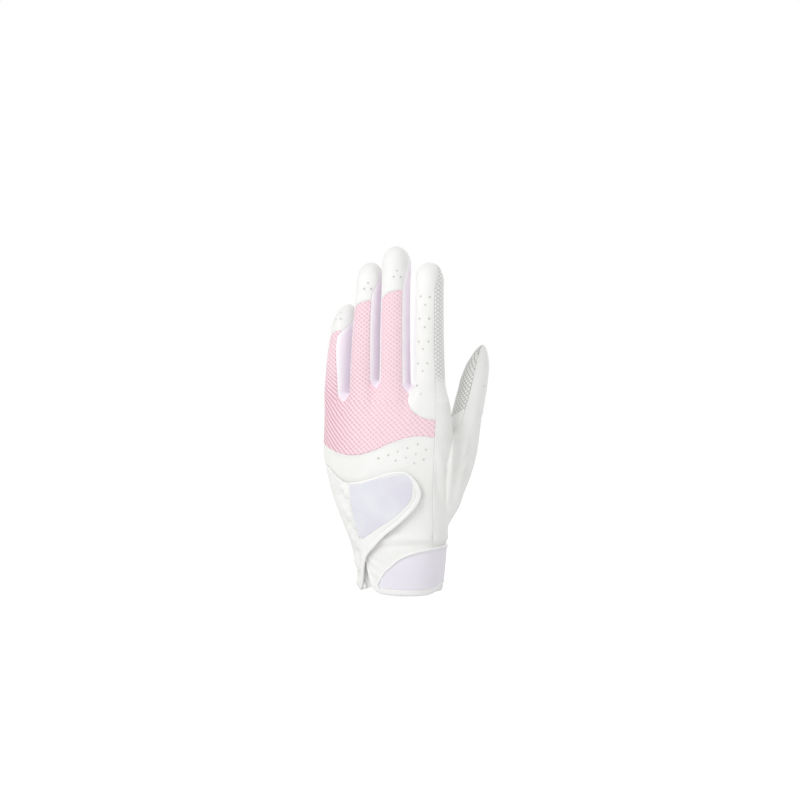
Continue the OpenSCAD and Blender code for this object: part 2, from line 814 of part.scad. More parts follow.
thumb_panel(THUMB_SEAMS[0] - 360, THUMB_SEAMS[1], LEATHER);  // thumb_palm
thumb_panel(THUMB_SEAMS[1], THUMB_SEAMS[2], GRIP);  // thumb_grip_strip
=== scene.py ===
import math

import bpy
import numpy as np
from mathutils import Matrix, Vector


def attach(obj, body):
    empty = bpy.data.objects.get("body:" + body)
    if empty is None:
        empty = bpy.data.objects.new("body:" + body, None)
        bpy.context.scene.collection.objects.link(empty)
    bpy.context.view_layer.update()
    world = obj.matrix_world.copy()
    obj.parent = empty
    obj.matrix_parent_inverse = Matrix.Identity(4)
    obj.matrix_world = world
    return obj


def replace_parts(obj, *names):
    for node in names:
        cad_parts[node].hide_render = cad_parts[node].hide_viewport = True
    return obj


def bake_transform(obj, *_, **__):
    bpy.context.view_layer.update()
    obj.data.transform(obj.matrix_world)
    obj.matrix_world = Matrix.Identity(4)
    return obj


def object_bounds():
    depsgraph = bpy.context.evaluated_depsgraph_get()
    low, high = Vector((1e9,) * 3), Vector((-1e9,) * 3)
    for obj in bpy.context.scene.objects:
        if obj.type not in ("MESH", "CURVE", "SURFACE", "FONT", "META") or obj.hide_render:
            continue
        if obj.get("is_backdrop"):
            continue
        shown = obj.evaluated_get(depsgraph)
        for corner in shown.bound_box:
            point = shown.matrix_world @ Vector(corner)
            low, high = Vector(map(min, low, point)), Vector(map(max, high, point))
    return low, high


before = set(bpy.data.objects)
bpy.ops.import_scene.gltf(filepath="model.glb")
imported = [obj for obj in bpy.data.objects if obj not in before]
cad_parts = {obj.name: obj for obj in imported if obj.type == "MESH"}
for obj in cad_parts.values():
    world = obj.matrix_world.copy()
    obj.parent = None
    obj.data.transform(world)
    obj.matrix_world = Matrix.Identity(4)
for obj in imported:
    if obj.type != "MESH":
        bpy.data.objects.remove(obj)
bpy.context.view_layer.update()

# ---- Studio
# A white sweep under soft lamps. The glove stands on its hem, the back of the hand to the camera,
# which is a little round to the thumb side and level with the middle of the glove.

MM = 0.001
scene = bpy.context.scene
scene.view_settings.view_transform = "Standard"

TARGET = Vector((-0.39, -0.14, 112.5)) * MM
CAMERA_TURN = math.radians(20)
CAMERA_RANGE = 1094 * MM
camera_data = bpy.data.cameras.new("camera")
camera_data.lens = 84.88
camera_data.sensor_width = 36
camera_data.clip_start, camera_data.clip_end = 0.02, 40
camera = bpy.data.objects.new("camera", camera_data)
scene.collection.objects.link(camera)
camera.location = TARGET + Vector((math.sin(CAMERA_TURN), -math.cos(CAMERA_TURN), 0)) * CAMERA_RANGE
camera.rotation_euler = (math.radians(90), 0, CAMERA_TURN)
scene.camera = camera


def lamp(name, place, aim, size, watts):
    """A square soft box at place, facing aim, both in metres."""
    data = bpy.data.lights.new(name, "AREA")
    data.energy, data.size = watts, size
    box = bpy.data.objects.new(name, data)
    scene.collection.objects.link(box)
    box.location = place
    box.rotation_euler = (Vector(place) - Vector(aim)).to_track_quat("Z", "Y").to_euler()


LAMP_AIM = (0, 0, 0.1)
lamp("key", (-0.75, -1.1, 1.0), LAMP_AIM, 0.9, 10.3)
lamp("fill", (1.1, -1.0, 0.5), LAMP_AIM, 1.1, 3.0)
lamp("back", (0.3, 1.5, 0.9), LAMP_AIM, 1.2, 6)


class Cloth:
    """A socket of a finish. Sums and products of sockets and numbers add Math nodes."""

    def __init__(self, tree, socket):
        self.tree, self.socket = tree, socket

    def node(self, kind, settings=(), inputs=(), out=0):
        """The output of a new node, its settings made first, then its sockets set or linked."""
        made = self.tree.nodes.new(kind)
        for key, value in dict(settings).items():
            setattr(made, key, value)
        for key, value in dict(inputs).items():
            if isinstance(value, Cloth):
                self.tree.links.new(value.socket, made.inputs[key])
            else:
                made.inputs[key].default_value = value
        return Cloth(self.tree, made.outputs[out])

    def maths(self, operation, *values):
        return self.node("ShaderNodeMath", {"operation": operation}, dict(enumerate(values)))

    def __add__(self, other):
        return self.maths("ADD", self, other)

    def __sub__(self, other):
        return self.maths("SUBTRACT", self, other)

    def __rsub__(self, other):
        return self.maths("SUBTRACT", other, self)

    def __mul__(self, other):
        return self.maths("MULTIPLY", self, other)

    __radd__, __rmul__ = __add__, __mul__

    def part(self, axis):
        """One number of this vector: 0, 1 or 2."""
        return self.node("ShaderNodeSeparateXYZ", (), {0: self}, out=axis)

    def cloth(self, axis):
        """Place on the cloth in metres, across (0) or up (1)."""
        return self.node("ShaderNodeUVMap", {"uv_map": "cloth"}).part(axis)

    def beat(self):
        """The size of this number's sine."""
        return self.maths("ABSOLUTE", self.maths("SINE", self))

    def smooth(self, low, high):
        """0 below low, 1 above high."""
        return self.node("ShaderNodeMapRange", {"interpolation_type": "SMOOTHSTEP"},
                         {"Value": self, "From Min": low, "From Max": high})

    def tint(self, start, end):
        """The colour from start to end as this goes from 0 to 1."""
        ends = [v if isinstance(v, Cloth) else (*v, 1) for v in (start, end)]
        return self.node("ShaderNodeMix", {"data_type": "RGBA"},
                         {0: self, 6: ends[0], 7: ends[1]}, out=2)

    def noise(self, scale, detail):
        """Noise on this vector, from 0 to 1, at a scale per metre."""
        return self.node("ShaderNodeTexNoise", (),
                         {"Vector": self, "Scale": scale, "Detail": detail})

    def bump(self, depth, strength):
        """A normal bent by this height, where 1 is depth metres."""
        return self.node("ShaderNodeBump", (),
                         {"Height": self, "Distance": depth, "Strength": strength})


def rgb(r, g, b):
    """A colour from its screen values, each from 11 to 255, as the shader counts."""
    return tuple(((v / 255 + 0.055) / 1.055) ** 2.4 for v in (r, g, b))


def finish(name, roughness=0.5, **constants):
    """A new material: (material, place socket, the function that links a socket to its shader)."""
    made = bpy.data.materials.new(name)
    made.use_nodes = True
    tree = made.node_tree
    shader = tree.nodes["Principled BSDF"]
    shader.inputs["Roughness"].default_value = roughness
    for key, value in constants.items():
        shader.inputs[key.replace("_", " ")].default_value = value
    where = Cloth(tree, tree.nodes.new("ShaderNodeTexCoord").outputs["Object"])

    def wear(**sockets):
        for key, value in sockets.items():
            tree.links.new(value.socket, shader.inputs[key.replace("_", " ")])

    return made, where, wear


def sweep_finish():
    """White, and plain white to the camera apart from the glove's own soft shadow."""
    made, where, _ = finish("sweep_white", 0.9)
    tree = made.node_tree
    shader = tree.nodes["Principled BSDF"]
    shader.inputs["Base Color"].default_value = (0.9, 0.9, 0.9, 1)
    seen = Cloth(tree, tree.nodes.new("ShaderNodeLightPath").outputs["Is Camera Ray"])
    glow = where.node("ShaderNodeEmission", (), {"Strength": 1.25})
    mixed = where.node("ShaderNodeMixShader", (),
                       {0: seen * 0.8, 1: Cloth(tree, shader.outputs[0]), 2: glow})
    tree.links.new(mixed.socket, tree.nodes["Material Output"].inputs["Surface"])
    return made


floor_mesh = bpy.data.meshes.new("sweep")
floor_mesh.from_pydata(
    [(x * 8, y * 8, -0.0004) for x, y in ((-1, -1), (1, -1), (1, 1), (-1, 1))], [], [(0, 1, 2, 3)]
)
floor_mesh.materials.append(sweep_finish())
floor = bpy.data.objects.new("sweep", floor_mesh)
scene.collection.objects.link(floor)
floor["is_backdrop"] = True

world = bpy.data.worlds.new("studio")
scene.world = world
world.use_nodes = True
sky = world.node_tree
plain = Cloth(sky, sky.nodes["Background"].outputs[0])
sky.nodes["Background"].inputs["Strength"].default_value = 0.56
path = sky.nodes.new("ShaderNodeLightPath")
direct = Cloth(sky, path.outputs["Is Camera Ray"]) + Cloth(sky, path.outputs["Is Glossy Ray"])
white = plain.node("ShaderNodeBackground", (), {"Color": (1, 1, 1, 1), "Strength": 1.0})
sky.nodes["Background"].inputs["Color"].default_value = (1, 1, 1, 1)
share = direct.maths("MINIMUM", direct, 1.0)
both = plain.node("ShaderNodeMixShader", (), {0: share, 1: plain, 2: white})
sky.links.new(both.socket, sky.nodes["World Output"].inputs["Surface"])


# ---- Back of the hand
# One piece of open pink knit, cut wavy above the wrist and let in under the index finger's
# leather. It runs on up the backs of three fingers. Its edges are turned in at each seam.

# Width across the roots of the four fingers with the gaps between them
FINGERS_W = 74.8
ROOT_Z, PINKY_ROOT_Z = 122.0, 115.0
PINKY_X, RING_X, MIDDLE_X, INDEX_X = -41.1, -22.8, -3.3, 16.9
CROTCH_X = (-32.3, -13.3, 6.7)
ARCH = 5.0
WRIST_Z, KNUCKLE_Z = 27.0, 100.0
HAND_SQUARE, FINGER_SQUARE = 2.4, 2.3
ULNAR_SEAM, THUMB_MID, THUMB_HALF = 186.0, 376.0, 32.0
RADIAL_X = 23.5
THUMB_HOLE_Z, THUMB_HOLE_L = 66.0, 52.0
# Height, half width, half depth and sideways middle of the hand's sections
HAND = np.array([
    (0, 23.5, 19, 0),
    (27, 27.5, 19, -1.03),
    (56, 35.5, 17.5, -5.7),
    (80, 39.75, 15, -9.12),
    (100, 39.75, 12.5, -10.03),
    (122, 38.2, 10, -11.7),
])


def mix(a, b, t):
    return a + (b - a) * t


def ease(t):
    t = np.clip(t, 0, 1)
    return t * t * (3 - 2 * t)


def superellipse(angle, square):
    """Point of a rounded square's outline at an angle, a circle's for a square of 2."""
    turn = np.radians(angle)
    c, s = np.cos(turn), np.sin(turn)
    return np.sign(c) * np.abs(c) ** (2 / square), np.sign(s) * np.abs(s) ** (2 / square)


def curve(keys, z, k):
    """A smooth curve through rows of keys: the first column is the place, column k the value."""
    z = np.asarray(z, float)
    last = len(keys) - 1
    i = np.clip(np.searchsorted(keys[:, 0], z, side="right") - 1, 0, last - 1)
    rows = np.arange(last + 1)
    after, before = np.minimum(rows + 1, last), np.maximum(rows - 1, 0)
    slope = (keys[after, k] - keys[before, k]) / (keys[after, 0] - keys[before, 0])
    step = keys[i + 1, 0] - keys[i, 0]
    t = np.clip((z - keys[i, 0]) / step, 0, 1)
    return (
        keys[i, k] * (2 * t**3 - 3 * t**2 + 1)
        + slope[i] * step * (t**3 - 2 * t**2 + t)
        + keys[i + 1, k] * (3 * t**2 - 2 * t**3)
        + slope[i + 1] * step * (t**3 - t**2)
    )


def bow(x, z):
    """How far the arch across the knuckles lets this point down towards the palm."""
    return ARCH * ease((z - WRIST_Z) / (ROOT_Z - WRIST_Z)) * ((x - MIDDLE_X) / (FINGERS_W / 2)) ** 2


def groove(x, z):
    """The hand's depth dips between the fingers' roots."""
    dips = np.max([np.exp(-(((x - c) / 3.5) ** 2)) for c in CROTCH_X], axis=0)
    return 1 - 0.3 * ease((z - KNUCKLE_Z) / (ROOT_Z - KNUCKLE_Z)) * dips


def hand(angle, z, depth=0.0):
    """Point of the hand's form at an angle round it and a height, depth under its face."""
    qx, qy = superellipse(angle, HAND_SQUARE)
    angle, z = np.broadcast_arrays(np.asarray(angle, float), np.asarray(z, float))
    x = curve(HAND, z, 3) + (curve(HAND, z, 1) - depth) * qx
    return np.stack([x, bow(x, z) + (curve(HAND, z, 2) * groove(x, z) - depth) * qy, z], -1)


def back_angle(x, z):
    """Angle at which the back of the hand has the sideways place x at height z."""
    q = np.clip((x - curve(HAND, z, 3)) / curve(HAND, z, 1), -1, 1)
    return 360 - np.degrees(np.arccos(np.sign(q) * np.abs(q) ** (HAND_SQUARE / 2)))


def palm_angle(x, z):
    """Angle at which the palm has the sideways place x at height z."""
    return 720 - back_angle(x, z)


def wave(x):
    """Height of the wavy seam under the knit."""
    return 86.2 + 5.6 * np.sin((x + 5) / 42 * np.pi)


def index_edge(x):
    """Height of the rounded lower end of the index finger's leather."""
    t = np.clip((RADIAL_X - x) / (RADIAL_X - CROTCH_X[2]), 0, 1)
    return ROOT_Z - 6 - 15 * np.sqrt(1 - 0.98 * t * t)


# Fingers: root place, length, lean, curl and its power, half width, half depth, taper, turn,
# tip length, then the angles of the seams: thumb side to back, back to little-finger side,
# little-finger side to palm, palm to thumb side
SEAMS = (317, 223, 137, 43)
FINGERS = {
    "index": (INDEX_X, ROOT_Z, 70, -1.6, 7, 2, 9.1, 9.4, 0.86, 4, 11, (308, 223, 137, 43)),
    "middle": (MIDDLE_X, ROOT_Z, 80, -1, 6, 2, 8.9, 9.2, 0.9, 0, 11, SEAMS),
    "ring": (RING_X, ROOT_Z, 71, 1.6, 8, 2, 8.4, 8.9, 0.9, -5, 11, SEAMS),
    "pinky": (PINKY_X, PINKY_ROOT_Z, 54, 2.5, 13, 2.4, 7.7, 7.8, 0.92, -28, 14, SEAMS),
}
# How far under its root each finger's leather joins the hand's, and how far over it the form of
# the hand still tells
JOIN, JOIN_OVER = 11.0, 3.0
# Shares of a finger's length between which its side strips narrow to a point
SIDE_TAPER, SIDE_END = 0.7, 0.93
# Thickness of the leather and the cloth
SKIN = 0.8
# How blunt a finger's tip is seen from the back, 1 for a round one
BLUNT = {"index": 0.68}
# How far towards the palm a root lies that is not on the arch across the knuckles
ROOT_Y = {}


def finger_form(who, angle, share, depth=0.0):
    """Point of a finger's form at an angle round it and a share of its length, under its face."""
    x0, z0, length, lean, curl, power, half_w, half_d, taper, turn, tip, _ = FINGERS[who]
    y0 = ROOT_Y.get(who, bow(x0, ROOT_Z))
    given = (np.asarray(v, float) for v in (angle, share, depth))
    angle, share, depth = np.broadcast_arrays(*given)
    body = 1 - tip / length
    past = np.clip((share - body) / (1 - body), 0, 1) * np.pi / 2
    t = np.where(share <= body, share, body + (1 - body) * (tip - depth) / tip * np.sin(past))
    up = np.clip(t, 0, None)
    size = mix(1, taper, up)
    qx, qy = superellipse(angle, FINGER_SQUARE)
    w = (half_w * size - depth) * np.cos(past) ** BLUNT.get(who, 0.92) * qx
    p = (half_d * size - depth) * np.cos(past) * qy
    c, s = math.cos(math.radians(turn)), math.sin(math.radians(turn))
    tx, ty = w * c - p * s, w * s + p * c
    rise = curl * power * up ** (power - 1) / length
    tilt = np.arctan(rise)
    return np.stack([
        x0 + lean * t + tx,
        y0 + curl * up**power + ty * np.cos(tilt),
        z0 + length * t - ty * np.sin(tilt),
    ], -1)


# How much earlier than the others' a finger's side strips end
EARLY = {"pinky": 0.12, "index": -0.035}


def seam_turn(who, share):
    """How far the seams beside a side strip have turned towards each other."""
    return ease((share + EARLY.get(who, 0) - SIDE_TAPER) / (SIDE_END - SIDE_TAPER))


def finger_seam(who, k, share):
    """Angle of a finger's seam k. The side strips end in a point near the tip."""
    at = FINGERS[who][11][k]
    point = (338, 180, 180, -22) if who == "index" else (360, 180, 180, 0)
    if k == 0:
        at = at - {"pinky": 30, "ring": 10}.get(who, 0) * ease(share / 0.62)
    return mix(at, point[k], seam_turn(who, share))


def knots(who, z):
    """Angles on a finger's section, and the hand's angles that they run into at height z."""
    def across(angle, side):
        x = finger_form(who, angle, 0.0)[..., 0]
        return float(back_angle(x, z) if side else palm_angle(x, z) - 360)

    seams = FINGERS[who][11]
    back = [(a, across(a, True)) for a in (223, 246, 270, 293, 317)]
    palm = [(a, across(a, False)) for a in (43, 67, 90, 113, 137)]
    if who == "index":
        back = [*back[:3], (seams[0], float(back_angle(RADIAL_X, z))), (360, 360)]
        palm = [(0, 0), (43, THUMB_MID - 360), *palm[2:]]
    if who == "pinky":
        back = [(180, 180), (223, ULNAR_SEAM), *back[1:]]
        palm = [*palm[:3], (137, 160), (180, 180)]
    return np.array(palm), np.array(back)


def finger(who, angle, share, depth=0.0):
    """The finger's form, flowing into the hand's form under its root."""
    z0, length = FINGERS[who][1:3]
    angle, share, depth = (np.array(v, float) for v in np.broadcast_arrays(angle, share, depth))
    out = finger_form(who, angle, share, depth)
    low = z0 - JOIN
    for row in np.ndindex(angle.shape[:-1]):
        z = z0 + length * share[row]
        weight = 1 - ease((z - low) / (JOIN + JOIN_OVER))
        if weight.max() <= 0:
            continue
        level = np.minimum(z, z0 + JOIN_OVER)
        a = angle[row] % 360

        def lift(at, table):
            """From the finger's form at an angle to the hand's form there."""
            to = hand(np.interp(at, table[:, 0], table[:, 1]), level, depth[row])
            return to - finger_form(who, at, share[row], depth[row])

        palm, back = knots(who, float(np.mean(level)))
        p0, p1, b0, b1 = palm[0, 0], palm[-1, 0], back[0, 0], back[-1, 0]
        lift_p0, lift_p1, lift_b0, lift_b1 = (
            lift(np.full(a.shape, float(at)), table)
            for at, table in ((p0, palm), (p1, palm), (b0, back), (b1, back))
        )
        little = ((a - p1) / max(b0 - p1, 1))[:, None]
        thumbward = (((a - b1) % 360) / max((p0 - b1) % 360, 1))[:, None]
        shift = 0.0
        for held, lifted in (
            ((a >= p0) & (a <= p1), lift(np.clip(a, p0, p1), palm)),
            ((a >= b0) & (a <= b1), lift(np.clip(a, b0, b1), back)),
            ((a > p1) & (a < b0), mix(lift_p1, lift_b0, little)),
            ((a > b1) | (a < p0), mix(lift_b1, lift_p0, thumbward)),
        ):
            shift = np.where(held[:, None], lifted, shift)
        out[row] = out[row] + shift * weight[:, None]
    return out


def finger_at(who, angle, z, depth):
    """The same finger at a height instead of a share of its length."""
    z0, length = FINGERS[who][1:3]
    return finger(who, angle, (z - z0) / length, depth)


def lengths(points, axis):
    """Distance along the rows or columns of a grid of points, from its first one."""
    step = np.linalg.norm(np.diff(points, axis=axis), axis=-1)
    none = np.zeros_like(np.take(step, [0], axis))
    return np.concatenate([none, np.cumsum(step, axis=axis)], axis)


def spaced(length, pitch, fine="both"):
    """Shares from 0 to 1 at a pitch in mm, closer together towards the ends that roll in."""
    close = np.array([0, 0.12, 0.28, 0.48, 0.75, 1.2])
    first = close if fine in ("both", "start") else close[:1]
    last = close if fine in ("both", "end") else close[:1]
    middle = np.linspace(first[-1], length - last[-1], max(2, int(round(length / pitch))))
    return np.concatenate([first[:-1], middle, length - last[:-1][::-1]]) / length


# Radius of a turned edge
ROLL = 0.5


def panel(surface, across, up, rolled="lrbt", skin=SKIN, puff=0.0, relief=None, origin=None,
          face=0.0, near=None, roll=ROLL):
    """Outer and inner points of one panel, and its place on the cloth in mm.
    surface(across, up, depth) gives its points. The edges named in rolled turn in, and so do
    those that near(points, left, right) measures; puff lifts the middle; relief(points) gives
    folds; origin is (place in across, value) on the cloth."""
    s, t = np.meshgrid(across, up)
    flat = surface(s, t, np.full(s.shape, face))
    left, low = lengths(flat, 1), lengths(flat, 0)
    edge = np.full(s.shape, 99.0)
    for side, away in zip("lrbt", (left, left[:, -1:] - left, low, low[-1:, :] - low)):
        if side in rolled:
            edge = np.minimum(edge, away)
    if near is not None:
        edge = np.clip(np.minimum(edge, near(flat, left, left[:, -1:] - left)), 0, None)
    inside = np.clip(roll - edge, 0, roll)
    depth = face + roll - np.sqrt(roll**2 - inside**2) - puff * (1 - np.exp(-edge / 5))
    if relief is not None:
        depth = depth - relief(flat) * np.clip(edge / 2, 0, 1)
    at = 0 if origin is None else int(np.argmin(np.abs(across - origin[0])))
    cloth = left - left[:, at : at + 1] + (0 if origin is None else origin[1])
    inner = surface(s, t, np.full(s.shape, face + skin))
    return surface(s, t, depth), inner, np.stack([cloth, flat[..., 2]], -1)


def shape(name, points, faces, material, slot):
    """A new piece with this mesh, points in mm."""
    mesh = bpy.data.meshes.new(name)
    mesh.from_pydata((points * MM).tolist(), [], faces)
    mesh.shade_smooth()
    mesh.materials.append(material)
    piece = bpy.data.objects.new(name, mesh)
    scene.collection.objects.link(piece)
    return piece


def sew(name, grids, material, slot, ring=False):
    """One closed mesh from panels welded where their edges touch: outer faces, inner ones, rims."""
    outer, inner, faces, places = [], [], [], []
    for out_points, in_points, cloth in grids:
        rows, cols = out_points.shape[:2]
        start = len(outer)
        outer.extend(out_points.reshape(-1, 3))
        inner.extend(in_points.reshape(-1, 3))
        places.extend(cloth.reshape(-1, 2))
        for j in range(rows - 1):
            for i in range(cols - (0 if ring else 1)):
                k = (i + 1) % cols
                faces.append((start + j * cols + i, start + j * cols + k,
                              start + (j + 1) * cols + k, start + (j + 1) * cols + i))
    outer, inner, places = np.array(outer), np.array(inner), np.array(places)
    key = {}
    weld = np.array([key.setdefault(tuple(p), len(key)) for p in np.round(outer, 3)])
    first = np.zeros(len(key), int)
    first[weld[::-1]] = np.arange(len(weld))[::-1]
    count = len(key)
    made, corners, used = [], [], {}
    for face in faces:
        ids = [weld[v] for v in face]
        keep = [n for n in range(4) if ids[n] != ids[n - 1]]
        if len({ids[n] for n in keep}) < 3:
            continue
        loop = [ids[n] for n in keep]
        made.append(loop)
        corners.append([places[face[n]] for n in keep])
        for n, m in zip(range(len(loop)), (*range(1, len(loop)), 0)):
            used[(loop[n], loop[m])] = (corners[-1][n], corners[-1][m])
    full, full_corners = list(made), list(corners)
    for loop, place in zip(made, corners):
        full.append([v + count for v in reversed(loop)])
        full_corners.append(list(reversed(place)))
    for (a, b), (pa, pb) in used.items():
        if (b, a) not in used:
            full.append([b, a, a + count, b + count])
            full_corners.append([pb, pa, pa, pb])
    piece = shape(name, np.concatenate([outer[first], inner[first]]), full, material, slot)
    piece.data.uv_layers.new(name="cloth").data.foreach_set(
        "uv", (np.array([p for place in full_corners for p in place]) * MM).ravel()
    )
    piece.data.set_sharp_from_angle(angle=math.radians(60))
    return piece


# Height where each finger's leather starts to turn with the finger
BEND_FROM = {"pinky": 112.5, "ring": 117.5, "middle": 118.0, "index": 117.5}
BEND_OVER = 15.0


def bends(piece, who):
    """Bakes the piece's place into its mesh."""
    x, low = FINGERS[who][0] * MM, BEND_FROM[who] * MM
    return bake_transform(piece, "hand", who, (x, 0, low), (x, 0, low + BEND_OVER * MM))


# Stitches and perforations are one small shape each, laid along a surface

def laid_group():
    """Lays a bead or a ring at each point, its height along "out", its length along "along"."""
    tree = bpy.data.node_groups.new("laid_shapes", "GeometryNodeTree")
    tree.interface.new_socket("Geometry", in_out="INPUT", socket_type="NodeSocketGeometry")
    kinds = {"Length": "Float", "Width": "Float", "Height": "Float", "Ring": "Bool",
             "Finish": "Material"}
    for name, kind in kinds.items():
        tree.interface.new_socket(name, in_out="INPUT", socket_type="NodeSocket" + kind)
    tree.interface.new_socket("Geometry", in_out="OUTPUT", socket_type="NodeSocketGeometry")
    given = tree.nodes.new("NodeGroupInput")
    take = {socket.name: Cloth(tree, socket) for socket in given.outputs if socket.name}
    start = take["Geometry"]
    out, along = (
        start.node("GeometryNodeInputNamedAttribute", {"data_type": "FLOAT_VECTOR"}, {"Name": key})
        for key in ("out", "along")
    )
    turn = start.node("FunctionNodeAxesToRotation", {"primary_axis": "Z", "secondary_axis": "X"},
                      {"Primary Axis": out, "Secondary Axis": along})
    bead = start.node("GeometryNodeMeshUVSphere", (), {"Segments": 8, "Rings": 5, "Radius": 0.5})
    size = start.node("ShaderNodeCombineXYZ", (),
                      {0: take["Length"], 1: take["Width"], 2: take["Height"]})
    bead = start.node("GeometryNodeTransform", (), {"Geometry": bead, "Scale": size})
    round_, wire = (
        start.node("GeometryNodeCurvePrimitiveCircle", (),
                   {"Resolution": sides, "Radius": across * 0.5})
        for sides, across in ((12, take["Length"]), (5, take["Height"]))
    )
    ring = start.node("GeometryNodeCurveToMesh", (), {"Curve": round_, "Profile Curve": wire})
    either = start.node("GeometryNodeSwitch", {"input_type": "GEOMETRY"},
                        {"Switch": take["Ring"], "False": bead, "True": ring})
    many = start.node("GeometryNodeInstanceOnPoints", (),
                      {"Points": start, "Instance": either, "Rotation": turn})
    solid = start.node("GeometryNodeRealizeInstances", (), {"Geometry": many})
    worn = start.node("GeometryNodeSetMaterial", (),
                      {"Geometry": solid, "Material": take["Finish"]})
    tree.links.new(worn.socket, tree.nodes.new("NodeGroupOutput").inputs[0])
    return tree


LAID = laid_group()


def lay(name, places, along, out, material, length, width, height, ring=False):
    """Small shapes at these places in mm, made into one plain mesh."""
    seeds = bpy.data.meshes.new(name + "_places")
    seeds.from_pydata((np.asarray(places) * MM).tolist(), [], [])
    for key, value in (("along", along), ("out", out)):
        held = seeds.attributes.new(key, "FLOAT_VECTOR", "POINT")
        held.data.foreach_set("vector", np.asarray(value).ravel())
    piece = bpy.data.objects.new(name, seeds)
    scene.collection.objects.link(piece)
    laid = piece.modifiers.new("laid", "NODES")
    laid.node_group = LAID
    given = {"Length": length * MM, "Width": width * MM, "Height": height * MM, "Ring": ring,
             "Finish": material}
    for item in LAID.interface.items_tree:
        if item.item_type == "SOCKET" and item.name in given:
            laid[item.identifier] = given[item.name]
    graph = bpy.context.evaluated_depsgraph_get()
    mesh = bpy.data.meshes.new_from_object(piece.evaluated_get(graph), depsgraph=graph)
    piece.modifiers.clear()
    piece.data = mesh
    mesh.shade_smooth()
    if not mesh.materials:
        mesh.materials.append(material)
    return piece


def thread_finish():
    made, where, wear = finish("white_thread", 0.45)
    ply = where.noise(5200, 1)
    wear(Base_Color=ply.tint(rgb(244, 244, 246), rgb(228, 228, 233)),
         Normal=ply.bump(0.00006, 0.5))
    return made


THREAD = thread_finish()


def stitches(name, path, pitch=1.7, length=1.15, width=0.3, height=0.26, lie=None):
    """Stitches along path(k, depth), k from 0 to 1, on leather that lies lie(points) high."""
    k = np.linspace(0, 1, 600)
    gone = lengths(path(k, np.zeros(600))[None], 1)[0]
    count = max(2, int(gone[-1] / pitch))
    at = np.interp((np.arange(count) + 0.5) / count * gone[-1], gone, k)
    flat = np.zeros(count)
    here = path(at, flat)
    along = path(np.clip(at + 2e-3, 0, 1), flat) - path(np.clip(at - 2e-3, 0, 1), flat)
    out = path(at, flat - 1) - here
    norm = np.linalg.norm(out, axis=1, keepdims=True)
    lift = 0.02 + (lie or leather_folds)(here)[:, None]
    along /= np.linalg.norm(along, axis=1, keepdims=True)
    return lay(name, here + out / norm * lift, along, out / norm, THREAD,
               length, width, height)


def knit_finish():
    """Warp knit: rows of small open eyes, each half a step along from the last, painted darker
    as shade inside them. Towards the little finger the cloth is drawn sideways, its falling ribs
    stand out and the painted shade in its eyes deepens."""
    made, where, wear = finish("pink_knit", 0.62, Sheen_Weight=0.25)
    across, up = where.cloth(0), where.cloth(1) - 0.112
    eye_across, eye_up, eye_low = (math.pi / pitch for pitch in (3.4e-3, 2.53e-3, 3.1e-3))
    x, z = across * eye_across, up * eye_up
    slow = up.maths("MINIMUM", up, 0.0) * eye_low + up.maths("MAXIMUM", up, 0.0) * eye_up
    wander = where.noise(150, 1) * 1.5
    fall, rise = (x + slow + wander).beat(), (x - z + wander).beat()
    drawn = (across * -1).smooth(0.008, 0.042) * (1 - up.smooth(0.0, 0.03) * 0.6)
    eye = fall * (rise.maths("MAXIMUM", rise, drawn * 0.9) * 0.62 + 0.38)
    hole = eye.smooth(0.3, 1.1)
    thread = where.noise(2600, 2)
    patch = where.noise(45, 2)
    pale = patch.tint(rgb(253, 226, 234), rgb(251, 221, 230))
    # Painted shade inside the open eyes, darker where the cloth is drawn open.
    painted_eye_shade = drawn.tint(rgb(236, 192, 205), rgb(214, 154, 172))
    colour = (hole * (0.7 + thread * 0.5)).tint(pale, painted_eye_shade)
    height = (1 - hole) * 0.8 + thread * 0.2
    wear(Base_Color=colour, Normal=height.bump(0.0003, 0.8), Roughness=0.55 + thread * 0.2)
    return made


PINK = knit_finish()
FINGER_BASE = {who: FINGERS[who][1] - JOIN for who in FINGERS}


def arc_to(x, z):
    """Length over the back of the hand at height z, from the middle finger's line to x."""
    a = back_angle(np.linspace(MIDDLE_X, x, 60), z)
    return math.copysign(lengths(hand(a, z)[None], 1)[0, -1], x - MIDDLE_X) + MIDDLE_X


ORDER = ("pinky", "ring", "middle", "index")
# Lowest point of the U between two fingers, and how high its round end is
U_FOOT = (111.8, 119.4, 116.6)
U_ROUND = 4.5


def u_edge(c, share):
    """Height of the edge of the U between fingers c and c + 1, at a share of the way across."""
    return U_FOOT[c] + U_ROUND * np.abs(2 * share - 1) ** 1.45


def between(c, s, z, depth, palm=False):
    """The hand's face between two fingers, meeting both fingers' edges, at a share across."""
    left, right = (
        finger_at(who, np.full(s.shape, float(FINGERS[who][11][k])), z, depth)
        for who, k in zip(ORDER[c : c + 2], (3, 2) if palm else (0, 1))
    )
    angle_of = palm_angle if palm else back_angle

    def on_hand(x):
        return hand(angle_of(x, z), z, depth)

    lift_left, lift_right = left - on_hand(left[..., 0]), right - on_hand(right[..., 0])
    x = mix(left[..., 0], right[..., 0], s)
    return on_hand(x) + mix(lift_left, lift_right, s[..., None])


RING_L, RING_R = (float(finger_form("ring", a, 0.0)[0]) for a in (223, 317))
MIDDLE_L, MIDDLE_R = (float(finger_form("middle", a, 0.0)[0]) for a in (223, 317))
PINKY_R = float(finger_form("pinky", 317, 0.0)[0])
INDEX_L = float(finger_form("index", 223, 0.0)[0])
# Where the index finger's leather starts, right of the U beside it
LEATHER_X = 7.3
LOW_BASE, HIGH_BASE = FINGER_BASE["pinky"], FINGER_BASE["ring"]


def back_column(a, z):
    """Angle at height z of the column that has the angle a at the little finger's base."""
    x = hand(a, LOW_BASE)[..., 0]
    return mix(a, back_angle(x, z), ease((a - 200) / 30))


